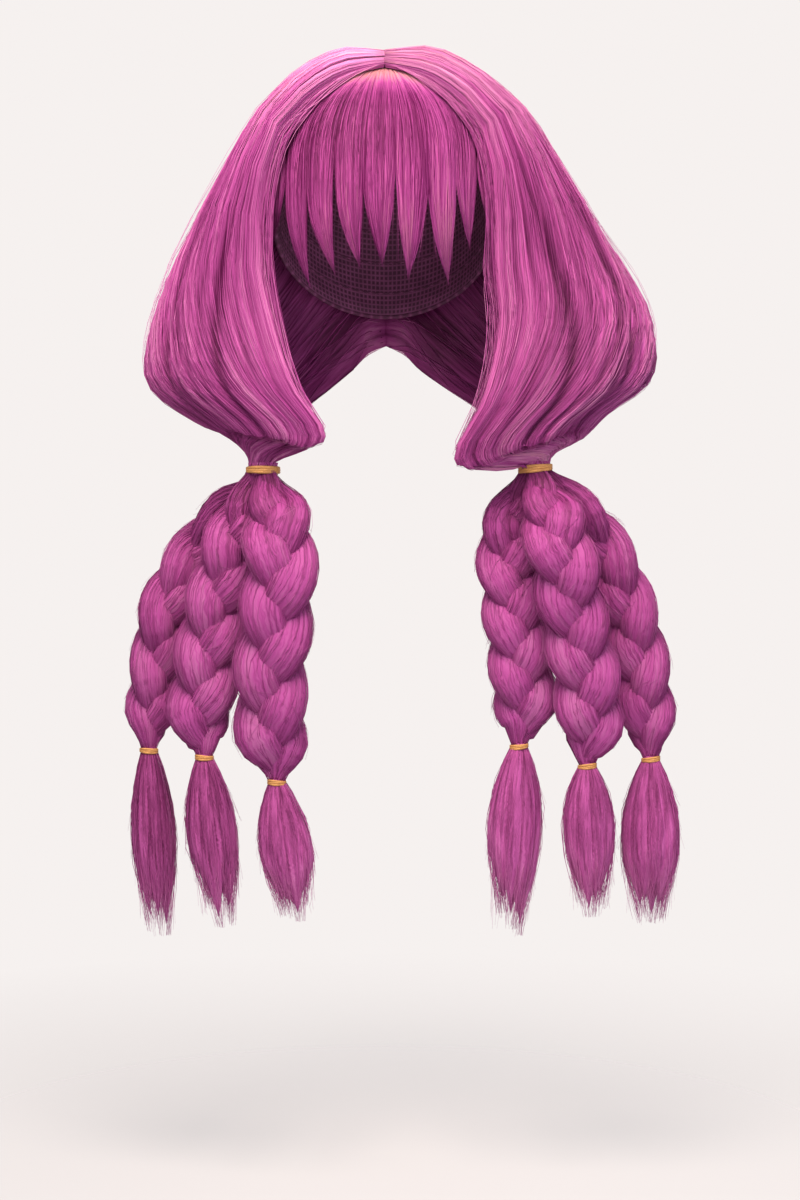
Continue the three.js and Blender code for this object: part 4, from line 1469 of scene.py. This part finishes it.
@dataclass
class Tail:
    """Loose brush of hair below a braid's tie. Radii of hairs are in millimetres."""

    row: BraidRow
    neck: float = 4.2 * MM
    rise: float = 2.5 * MM
    end_fullness: float = 0.58
    locks: int = 10
    lock_size: float = 0.5
    lock_place: float = 0.55
    lock_turn: float = 0.3
    lock_shade: float = 0.2
    lock_flow: float = 3.0
    lock_reach: Span = (0.76, 0.89)
    one_lock: float = 0.94
    pointed_from: float = 0.68
    point_roundness: float = 1.5
    point_width: float = 0.03
    corners: int = 10
    stations: int = 15
    # Painted shade below the tie and painted light towards the ends.
    root_shade: float = 0.26
    root_reach: float = 0.5
    tip_painted_light: float = 0.7
    tip: Span = (0.45, 0.5)
    fibres: int = 275
    fibre_stations: int = 10
    fibre_turn: Span = (-1.9, 1.9)
    fibre_out: Span = (0.9, 1.06)
    fibre_reach: Span = (0.97, 1.14)
    fibre_spread: Span = (0.05, 0.55)
    fibre_crimp: float = 0.035
    crimp_grown: float = 4.0
    fibre_drift: float = 0.1
    fibre_radius: Span = (0.12, 0.25)
    fibre_thinning: Span = (0.6, 0.4)
    fibre_tip: float = 0.42
    tone_spread: float = 0.4
    wisps: int = 100
    wisp_stations: int = 5
    wisp_turn: float = 0.3
    wisp_out: Span = (0.92, 1.0)
    wisp_off: Span = (0.05, 0.3)
    wisp_curve: float = 1.5
    wisp_length: Span = (0.12, 0.3)
    wisp_reach: Span = (0.06, 0.98)
    wisp_radius: Span = (0.08, 0.13)
    wisp_tip: float = 0.5
    wisp_tint: float = 0.2
    wisp_flow: float = 9.0

    def __post_init__(self) -> None:
        """Finds the tail's axes."""
        turn = math.radians(self.row.turn_deg)
        self.across = np.array([math.cos(turn), math.sin(turn), 0.0])
        self.deep = np.array([-math.sin(turn), math.cos(turn), 0.0])
        self.top = mm(self.row.end) + UP * self.rise
        self.end = mm(self.row.tail.tip)

    def fullness(self, share: Array) -> Array:
        """How full the tail is, 0 at the tie and 1 where it is widest."""
        fullest = self.row.tail.fullest
        falling = mix(1.0, self.end_fullness, ramp(share, fullest, 1.0 - fullest))
        return np.where(share < fullest, 1.0 - (1.0 - share / fullest) ** 2, falling)

    def points(self, share: Array, x: Array, y: Array) -> Array:
        """Points in the tail.

        Args:
            share: 0 at the tie and 1 at the tip.
            x: Place across, 1 at the edge.
            y: Place in depth, 1 at the edge.

        Returns:
            Points with one more axis.
        """
        full = self.fullness(share)
        tail = self.row.tail
        wide = mix(self.neck, tail.half_width * MM, full) * x
        thick = mix(self.neck, tail.half_depth * MM, full) * y
        axis = mix(self.top, self.end, share[..., None])
        return axis + self.across * wide[..., None] + self.deep * thick[..., None]

    def shade(self, share: Array) -> Array:
        """Painted shade below the tie and over the whole tail, and painted light towards the ends."""
        root = self.root_shade * (1.0 - smooth(share / self.root_reach))
        return self.row.tail.tone + root - self.tip_painted_light * ramp(share, *self.tip)

    def lock_middles(self, number: Array) -> tuple[Array, Array]:
        """Places of the locks in the tail's cross section. The last one is in the middle."""
        turn = TAU * number / (self.locks - 1) + self.lock_turn
        out = np.where(number < self.locks - 1, self.lock_place, 0.0)
        return out * np.cos(turn), out * np.sin(turn)

    def pointed(self, along: Array) -> Array:
        """Width of a lock along its own length, least at its tip."""
        beyond = np.clip((along - self.pointed_from) / (1.0 - self.pointed_from), 0.0, 1.0)
        return np.maximum(1.0 - beyond ** self.point_roundness, self.point_width)

    def dress(self, finish: bpy.types.Material, rng: Rng) -> None:
        """Makes the tail's piece."""
        skin = Skin()
        ends = mix(*self.lock_reach, rng.random(self.locks))
        ends[rng.integers(self.locks - 1)] = self.one_lock
        along = row_of(self.stations).T
        angle = circle(self.corners)[None, :]
        size = self.lock_size * self.pointed(along)
        for number in range(self.locks):
            x, y = self.lock_middles(np.array(number))
            shares = np.broadcast_to(along * ends[number], (self.stations, self.corners))
            rings = self.points(shares, x + size * np.cos(angle), y + size * np.sin(angle))
            skin.tube(rings, along[:, 0] + number, self.lock_flow, self.lock_shade + self.shade(shares))
        self.add_fibres(skin, ends, rng)
        self.add_wisps(skin, rng)
        skin.make(f"brush_{self.row.lane}", finish, Slot.HAIR, f"tail_{self.row.lane}")

    def add_fibres(self, skin: Skin, ends: Array, rng: Rng) -> None:
        """Adds the hairs that cover the locks.

        Args:
            skin: What they are added to.
            ends: Share of the tail that each lock reaches.
            rng: Source of randomness.
        """
        count = self.fibres
        number = np.arange(count) % (self.locks - 1)
        x, y = self.lock_middles(number[:, None])
        turn = np.arctan2(y, x) + drawn(rng, self.fibre_turn, count)
        out = drawn(rng, self.fibre_out, count) * self.lock_size
        end = np.minimum(ends[number][:, None] * drawn(rng, self.fibre_reach, count), 1.0)
        along = row_of(self.fibre_stations)
        size = out * mix(self.pointed(along), 1.0, drawn(rng, self.fibre_spread, count))
        crimp = rng.normal(0.0, self.fibre_crimp, (2, count, self.fibre_stations))
        crimp = crimp * smooth(along * self.crimp_grown)
        drift = rng.normal(0.0, self.fibre_drift, (2, count, 1)) * along ** 2
        sideways = x + size * np.cos(turn) + crimp[0] + drift[0]
        inward = y + size * np.sin(turn) + crimp[1] + drift[1]
        share = end * along
        thin = mix(1.0, self.fibre_tip, ramp(along, *self.fibre_thinning))
        radii = drawn(rng, self.fibre_radius, count) * MM * thin
        tones = number + rng.normal(0.0, self.tone_spread, count)
        skin.fibres(self.points(share, sideways, inward), radii, tones, share, self.shade(share))

    def add_wisps(self, skin: Skin, rng: Rng) -> None:
        """Adds the thin hairs that stand off the tail."""
        count = self.wisps
        along = row_of(self.wisp_stations)
        turn = rng.uniform(0.0, TAU, (count, 1)) + rng.normal(0.0, self.wisp_turn, (count, 1)) * along
        out = drawn(rng, self.wisp_out, count) + drawn(rng, self.wisp_off, count) * along ** self.wisp_curve
        length = drawn(rng, self.wisp_length, count)
        first, last = self.wisp_reach
        share = rng.uniform(first, last - length, (count, 1)) + length * along
        paths = self.points(share, out * np.cos(turn), out * np.sin(turn))
        radii = drawn(rng, self.wisp_radius, count) * MM * mix(1.0, self.wisp_tip, along)
        tones = rng.random(count) * self.wisp_flow
        skin.fibres(paths, radii, tones, share, self.shade(share) - self.wisp_tint)


class TieSize(NamedTuple):
    """Outside radius, thickness and height of a wound elastic."""

    radius: float
    thickness: float
    height: float


BUNCH_TIE = TieSize(11.3 * MM, 1.6 * MM, 6.2 * MM)
BRAID_TIE = TieSize(6.2 * MM, 1.3 * MM, 4.4 * MM)
BUNCH_TILT_DEG = {Side.LEFT: 4.0, Side.RIGHT: -2.0}
BRAID_TILT_DEG = 5.0


@dataclass
class Elastic:
    """A covered elastic wound round a bundle of hair."""

    node: str
    middle: Array
    size: TieSize
    tilt_deg: float
    wraps: float = 3.2
    cord_share: float = 0.56
    cord_flatness: float = 0.62
    slow_waver: Span = (0.18 * MM, 1.31)
    quick_waver: Span = (0.12 * MM, 2.3)
    end_taper: float = 14.0
    inset: float = 0.5
    end_tuck: float = 1.1
    edge_room: float = 1.7
    corners: int = 8
    steps_a_wrap: int = 34

    def dress(self, finish: bpy.types.Material, rng: Rng) -> None:
        """Makes the wound elastic's piece."""
        radius, thickness, height = self.size
        turn = np.linspace(0.0, TAU * self.wraps, int(self.steps_a_wrap * self.wraps))
        share = turn / turn[-1]
        cord = height / self.wraps * self.cord_share
        slow, slow_pace = self.slow_waver
        quick, quick_pace = self.quick_waver
        waver = slow * np.sin(turn * slow_pace + rng.uniform(0, TAU)) + quick * np.sin(turn * quick_pace)
        ends = smooth(share * self.end_taper) * smooth((1.0 - share) * self.end_taper)
        reach = radius - self.inset * thickness - self.end_tuck * thickness * (1.0 - ends)
        level = (share - 0.5) * (height - self.edge_room * cord) + waver
        slant = math.tan(math.radians(self.tilt_deg))
        x, y = np.cos(turn), np.sin(turn)
        centre = np.stack([x * reach, y * reach, level + x * reach * slant], axis=-1) + self.middle
        outward = np.stack([x, y, np.zeros_like(x)], axis=-1)
        corner = circle(self.corners)
        flat = self.cord_flatness * thickness * np.cos(corner)
        rings = centre[:, None] + outward[:, None] * flat[None, :, None]
        rings = rings + UP * (cord * np.sin(corner))[None, :, None]
        skin = Skin()
        skin.tube(rings, share * self.wraps)
        skin.make(f"wound_{self.node}", finish, Slot.ELASTIC, self.node)


class LockRow(NamedTuple):
    """One lock of the fringe, in millimetres."""

    root_x: float
    full_x: float
    tip_x: float
    tip_z: float
    lift: float


FRINGE_LOCKS = (
    LockRow(-15, -71, -73, -120, 6.0),
    LockRow(-12, -58.5, -49, -153, 6.6),
    LockRow(-8.5, -41.5, -32.5, -147, 7.0),
    LockRow(-5, -23, -16, -143.5, 6.4),
    LockRow(-1, -3.5, -1.3, -142.5, 7.1),
    LockRow(4, 18, 15.6, -149.5, 6.5),
    LockRow(8.5, 38, 41, -152, 7.0),
    LockRow(12, 54, 55, -129, 6.3),
    LockRow(15, 66, 70, -116, 6.0),
)
FRINGE_SPLITS = (0.6, 0.66, 0.74, 0.46, 0.72, 0.5, 0.58, 0.66, 0.6, 0.6)


@dataclass(frozen=True)
class FringeHairs:
    """How the fine hairs over the fringe's locks lie. Radii are in millimetres."""

    count: int = 900
    stations: int = 16
    reach: Span = (0.84, 1.03)
    reach_bias: float = 0.6
    edge_shorter: float = 0.12
    sway: float = 0.05
    sway_pace: float = 0.5
    sway_grown: float = 4.0
    half_lane: float = 0.499
    under_share: float = 0.12
    under_rise: float = -0.9
    rise: Span = (0.74, 1.15)
    # Painted shade on hairs that lie lower in the sheet.
    low_hair_shade: float = 0.8
    stray_share: float = 0.12
    stray: Span = (0.2, 0.7)
    stray_thinness: float = 0.6
    radius: Span = (0.12, 0.3)
    radius_bias: float = 1.6
    tip: Span = (0.7, 0.3)
    tip_radius: float = 0.35
    tone_spread: float = 0.4


@dataclass
class Fringe:
    """One sheet of hair fanned from the front of the parting, which splits into pointed locks."""

    root_z: float = -9 * MM
    half_thickness: float = 2.2 * MM
    tip_thickness: float = 0.35
    root_lift: float = 0.75
    lift_grown: float = 0.25
    full_at: float = 0.6
    fan_power: float = 3.5
    curl_power: float = 2.2
    taper_from: float = 0.6
    taper_power: float = 2.1
    tip_width: float = 0.04
    gap: float = 0.09
    gap_length: float = 0.2
    parted: Span = (0.3, 0.35)
    dome: Span = (0.1, 0.6)
    dome_grown: Span = (0.3, 0.4)
    dome_power: float = 3.0
    ripples: float = 1.5
    ripple_depth: float = 0.3
    ripple_edge: float = 0.6
    # Painted highlight at the root, and painted shade below it and between the locks.
    painted_root_glint: Span = (0.03, 0.09)
    below_root: Span = (0.05, 0.15)
    below_shade: float = 0.6
    recovery: Span = (0.3, 0.5)
    recovered: float = 0.65
    between_shade: float = 0.3
    between_power: float = 5.0
    between_grown: Span = (0.2, 0.4)
    flow_lane: float = 1.9
    lane_width: float = 0.995
    body_rise: Span = (-0.8, 0.68)
    body_shade: float = 0.1
    body_columns: int = 19
    body_stations: int = 30
    station_power: float = 1.1
    hairs: FringeHairs = FringeHairs()

    def __post_init__(self) -> None:
        """Adds a guide lock beyond each end of the table."""
        table = np.array(FRINGE_LOCKS, dtype=float)
        first = 2 * table[:1] - table[1:2]
        last = 2 * table[-1:] - table[-2:-1]
        self.table = np.vstack([first, table, last])
        self.numbers = np.arange(-1, len(table) + 1)

    def column(self, name: str, lane: Array) -> Array:
        """A column of the table at lanes between the locks, in metres."""
        return np.interp(lane, self.numbers, self.table[:, LockRow._fields.index(name)]) * MM

    def points(self, lane: Array, share: Array, rise: Numbers, stray: Numbers = 0.0) -> Array:
        """Points on the sheet.

        Args:
            lane: Place across the fringe, a whole number in the middle of each lock.
            share: 0 at the root and 1 at the tip.
            rise: Height above the middle of the sheet, as a share of its thickness.
            stray: How far a hair keeps clear of its lock's taper, from 0 to 1.

        Returns:
            Points with one more axis.
        """
        lock = np.round(lane)
        beside = np.where(lane > lock, lock + 1, lock)
        split = np.take(FRINGE_SPLITS, np.clip(beside, 0, len(FRINGE_SPLITS) - 1).astype(int))
        open_gap = 1.0 - self.gap * ramp(share, split, self.gap_length)
        pointed = np.clip((share - self.taper_from) / (1.0 - self.taper_from), 0.0, 1.0)
        taper = mix(mix(1.0, self.tip_width, pointed ** self.taper_power), 1.0, stray)
        at = lock + (lane - lock) * taper * open_gap
        fanned = 1.0 - (1.0 - np.minimum(share / self.full_at, 1.0)) ** self.fan_power
        beyond = np.maximum(share - self.full_at, 0.0) / (1.0 - self.full_at)
        curled = (self.column("tip_x", lock) - self.column("full_x", lock)) * beyond ** self.curl_power
        x = mix(self.column("root_x", at), self.column("full_x", at), fanned) + curled
        tip_z = mix(self.column("tip_z", at), self.column("tip_z", lock), ramp(share, *self.parted))
        z = mix(self.root_z, tip_z, share)
        across = 2.0 * (lane - lock)
        dome = 1.0 - mix(*self.dome, ramp(share, *self.dome_grown)) * np.abs(across) ** self.dome_power
        crest = np.abs(np.cos(self.ripples * math.pi * across)) ** self.ripple_edge
        ripple = 1.0 - self.ripple_depth * (1.0 - crest)
        height = rise * self.half_thickness * mix(self.tip_thickness, 1.0, taper) * dome * ripple
        lift = mix(self.root_lift, 1.0, smooth(share / self.lift_grown)) * self.column("lift", at) + height
        return HEAD.front(x, z, lift)

    def shade(self, lane: Array, share: Array) -> Array:
        """Painted shade below the root and between the locks, and a painted highlight at the root."""
        # The painted highlight at the root lightens the hair.
        root = 1.0 - ramp(share, *self.painted_root_glint)
        below = ramp(share, *self.below_root) * (1.0 - self.recovered * ramp(share, *self.recovery))
        off = np.abs(2.0 * (lane - np.round(lane)))
        between = off ** self.between_power * ramp(share, *self.between_grown)
        return self.below_shade * below + self.between_shade * between - root

    def locks(self) -> Skin:
        """The closed locks under the hairs."""
        skin = Skin()
        share = row_of(self.body_stations).T ** self.station_power
        out = np.linspace(-0.5, 0.5, self.body_columns)[None, :] * self.lane_width
        for lock in self.numbers:
            lanes, shares = np.broadcast_arrays(lock + out, share)
            under, top = (self.points(lanes, shares, rise) for rise in self.body_rise)
            rings = np.concatenate([top, under[:, ::-1]], axis=1)
            deep = self.shade(np.concatenate([lanes, lanes[:, ::-1]], axis=1), share)
            skin.tube(rings, share[:, 0] + float(lock), 2 * self.flow_lane, deep + self.body_shade)
        return skin

    def strands(self, rng: Rng) -> Skin:
        """The fine hairs over the locks."""
        hairs = self.hairs
        count = hairs.count
        lane = mix(self.numbers[0] - 0.5, self.numbers[-1] + 0.5, spread(count, rng))[:, None]
        middle = np.round(lane)
        off = np.abs(2.0 * (lane - middle))
        reach = mix(*hairs.reach, rng.random((count, 1)) ** hairs.reach_bias)
        reach = reach - hairs.edge_shorter * off ** 2 * rng.random((count, 1))
        along = row_of(hairs.stations) ** self.station_power
        shares = reach * along
        turns = shares * (hairs.sway_pace + rng.random((count, 1))) + rng.random((count, 1))
        sway = hairs.sway * np.sin(TAU * turns) * smooth(shares * hairs.sway_grown)
        lanes = np.clip(lane + sway, middle - hairs.half_lane, middle + hairs.half_lane)
        side = np.where(rng.random((count, 1)) < hairs.under_share, hairs.under_rise, 1.0)
        rise = side * drawn(rng, hairs.rise, count)
        stray = np.where(rng.random((count, 1)) < hairs.stray_share, drawn(rng, hairs.stray, count), 0.0)
        paths = self.points(lanes, shares, rise, stray)
        thick = mix(*hairs.radius, rng.random((count, 1)) ** hairs.radius_bias) * MM
        thin = mix(1.0, hairs.tip_radius, ramp(along, *hairs.tip))
        radii = thick * thin * np.where(stray > 0, hairs.stray_thinness, 1.0)
        tone = lane[:, 0] * self.flow_lane + rng.normal(0.0, hairs.tone_spread, count)
        # Painted shade of the place, darker for hairs that lie lower in the sheet.
        deep = self.shade(lanes, shares) + hairs.low_hair_shade * (1.0 - np.abs(rise))
        skin = Skin()
        skin.fibres(paths, radii, tone, shares, deep)
        return skin

    def dress(self, finish: bpy.types.Material, rng: Rng) -> None:
        """Makes the fringe's pieces."""
        self.locks().make("fringe_locks", finish, Slot.HAIR, "fringe")
        self.strands(rng).make("fringe_strands", finish, Slot.HAIR, "fringe")


@dataclass
class Cap:
    """Fitted net cap with a rolled rim and sewn rows."""

    wall: float = 1.5 * MM
    front_rim_deg: float = 62.0
    nape_rim_deg: float = 116.0
    around_steps: int = 84
    down_steps: int = 24
    rim_radius: float = 1.5 * MM
    rows: int = 9
    first_row: float = 1.2
    row_radius: float = 0.7 * MM
    crown_gap: float = 0.02
    hoop_corners: int = 6
    hoop_flow: float = 0.1

    def rim_angle(self, around: Array) -> Array:
        """Angle from the crown to the rim."""
        to_nape = (1.0 - np.cos(around)) / 2.0
        return np.radians(mix(self.front_rim_deg, self.nape_rim_deg, to_nape))

    def sheet(self, lift: float) -> Array:
        """Points of the cap at one lift, from near the crown to the rim."""
        around = circle(self.around_steps)
        down = np.linspace(self.crown_gap, 1.0, self.down_steps)[:, None]
        return HEAD.point(around[None, :] + 0.0 * down, self.rim_angle(around)[None, :] * down, lift)

    def hoop(self, skin: Skin, down_share: float, lift: float, radius: float) -> None:
        """Adds a thin hoop round the cap."""
        around = np.linspace(0.0, TAU, self.around_steps)
        line = HEAD.point(around, self.rim_angle(around) * down_share, lift)
        outward = unit(line - HEAD.centre)
        heading = unit(np.gradient(line, axis=0))
        heading[[0, -1]] = unit(line[1] - line[-2])
        beside = np.cross(outward, heading)
        corner = circle(self.hoop_corners)
        rings = line[:, None] + radius * outward[:, None] * np.cos(corner)[None, :, None]
        rings = rings + radius * beside[:, None] * np.sin(corner)[None, :, None]
        skin.tube(rings, np.linspace(0.0, 1.0, self.around_steps), self.hoop_flow)

    def dress(self, finish: bpy.types.Material) -> None:
        """Makes the cap's piece."""
        skin = Skin()
        outer, inner = self.sheet(self.wall), self.sheet(0.0)
        down = np.linspace(0.0, 1.0, self.down_steps)
        skin.tube(np.concatenate([outer, inner[::-1]]), np.concatenate([down, down[::-1]]))
        self.hoop(skin, 1.0, self.wall / 2, self.rim_radius)
        for row in range(self.rows):
            self.hoop(skin, (row + self.first_row) / (self.rows + 1.0), 0.0, self.row_radius)
        skin.make("net_cap", finish, Slot.CAP_NET, "cap")


class Lamp(NamedTuple):
    """A soft square lamp: its place and aim in metres, its size, its power in watts and its colour."""

    name: str
    place: Point
    aim: Point
    size: float
    power: float
    colour: Point


LAMPS = (
    Lamp("key", (-0.95, -1.35, 0.65), (0.0, 0.0, -0.3), 1.3, 15.5, (1.0, 0.96, 0.93)),
    Lamp("fill", (1.25, -1.2, 0.0), (0.0, 0.0, -0.35), 1.1, 8.8, (0.87, 0.91, 1.0)),
    Lamp("top", (-0.02, -0.52, 0.64), (0.0, 0.0, -0.1), 0.6, 21.5, (1.0, 0.88, 0.78)),
    Lamp("bounce", (0.2, -1.25, -0.55), (0.0, 0.0, -0.35), 0.8, 3.4, (1.0, 0.96, 0.95)),
    Lamp("back", (0.3, 1.5, -0.1), (0.0, 0.0, -0.3), 1.3, 16.0, (1.0, 0.95, 0.93)),
)


@dataclass
class Studio:
    """Camera at the photograph's viewing angle, soft lights and a plain pale floor."""

    eye: Point = (0.010, -1.6, -0.307)
    aim: Point = (0.010, 0.0, -0.361)
    lens: float = 70.6
    floor_z: float = -0.74
    floor_radius: float = 1.2
    floor_corners: int = 96
    backdrop: Colour = (1.0, 0.955, 0.94, 1.0)
    seen_strength: float = 0.92
    ambient_strength: float = 0.42

    @staticmethod
    def put(name: str, data: bpy.types.ID, place: Point, aim: Point) -> bpy.types.Object:
        """Puts a camera or lamp at a place and turns it to its aim."""
        made = bpy.data.objects.new(name, data)
        made.location = place
        made.rotation_euler = (Vector(aim) - Vector(place)).to_track_quat("-Z", "Y").to_euler()
        bpy.context.scene.collection.objects.link(made)
        return made

    def camera(self) -> None:
        """Makes the camera."""
        data = bpy.data.cameras.new("camera")
        data.lens = self.lens
        bpy.context.scene.camera = self.put("camera", data, self.eye, self.aim)

    def lights(self) -> None:
        """Makes the lamps and the pale surroundings."""
        bpy.context.scene.view_settings.view_transform = "Standard"
        for lamp in LAMPS:
            data = bpy.data.lights.new(lamp.name, "AREA")
            data.size = lamp.size
            data.energy = lamp.power
            data.color = lamp.colour
            self.put(lamp.name, data, lamp.place, lamp.aim)
        world = bpy.data.worlds.new("surroundings")
        bpy.context.scene.world = world
        world.use_nodes = True
        graph = Graph(world.node_tree)
        seen = graph.value("ShaderNodeLightPath", {}, {}, "Is Camera Ray")
        strength = seen * (self.seen_strength - self.ambient_strength) + self.ambient_strength
        inputs = {"Color": self.backdrop, "Strength": strength}
        graph.surface(graph.node("ShaderNodeBackground", {}, inputs), "ShaderNodeOutputWorld")

    def floor(self) -> None:
        """Makes the floor."""
        bpy.ops.mesh.primitive_circle_add(
            vertices=self.floor_corners, radius=self.floor_radius, fill_type="NGON",
        )
        floor = bpy.context.object
        floor.name = "floor"
        floor.location = (0.0, 0.0, self.floor_z)
        floor.data.materials.append(FloorFinish("pale_floor").make())


LOOSE_HAIR = HairFinish("synthetic_hair")
PLAITED_HAIR = HairFinish(
    "plaited_hair",
    deep=(0.085, 0.006, 0.048, 1.0),
    middle=(0.322, 0.047, 0.217, 1.0),
    light=(0.352, 0.09, 0.247, 1.0),
    painted_sheen=(0.352, 0.09, 0.247, 1.0),
    fibre_density=10.0,
    fibre_contrast=1.15,
    lock_density=1.3,
    crimp=0.3,
    crimp_pace=40.0,
    specular=0.24,
    roughness=0.54,
)
BRUSHED_HAIR = HairFinish(
    "brushed_hair",
    deep=(0.12, 0.012, 0.07, 1.0),
    middle=(0.43, 0.081, 0.29, 1.0),
    light=(0.59, 0.18, 0.42, 1.0),
    painted_sheen=(0.59, 0.18, 0.42, 1.0),
    crimp=0.24,
    specular=0.22,
    roughness=0.56,
)
FRINGE_HAIR = HairFinish(
    "fringe_hair",
    light=(0.50, 0.18, 0.28, 1.0),
    # Peach of the painted highlight at the fringe's root.
    painted_sheen=(0.50, 0.21, 0.21, 1.0),
    fibre_pace=0.7,
    fibre_contrast=1.35,
    lock_pace=0.5,
    specular=0.16,
    roughness=0.5,
)


def dress_elastics(finish: bpy.types.Material, rng: Rng) -> None:
    """Makes every wound elastic."""
    for side in Side:
        Elastic(f"bunch_tie_{side.value}", TIES[side], BUNCH_TIE, BUNCH_TILT_DEG[side]).dress(finish, rng)
    for row in BRAIDS:
        tilt = BRAID_TILT_DEG * row.side.sign
        Elastic(f"braid_tie_{row.lane}", mm(row.end), BRAID_TIE, tilt).dress(finish, rng)


def main() -> None:
    """Builds the studio and every piece of the wig."""
    logging.basicConfig(level=logging.INFO, format="%(name)s %(message)s")
    rng = np.random.default_rng(SEED)
    studio = Studio()
    studio.camera()
    studio.lights()
    studio.floor()
    hair, plait, brush = (finish.make() for finish in (LOOSE_HAIR, PLAITED_HAIR, BRUSHED_HAIR))
    Cap().dress(NetFinish("cap_net").make())
    for side in Side:
        SideHair(side).dress(hair, rng)
        Gather(side).dress(hair, rng)
    Fringe().dress(FRINGE_HAIR.make(), rng)
    for row in BRAIDS:
        Braid(row).dress(plait, rng)
        Tail(row).dress(brush, rng)
    dress_elastics(ElasticFinish("covered_elastic").make(), rng)


if __name__ == "__main__":
    main()
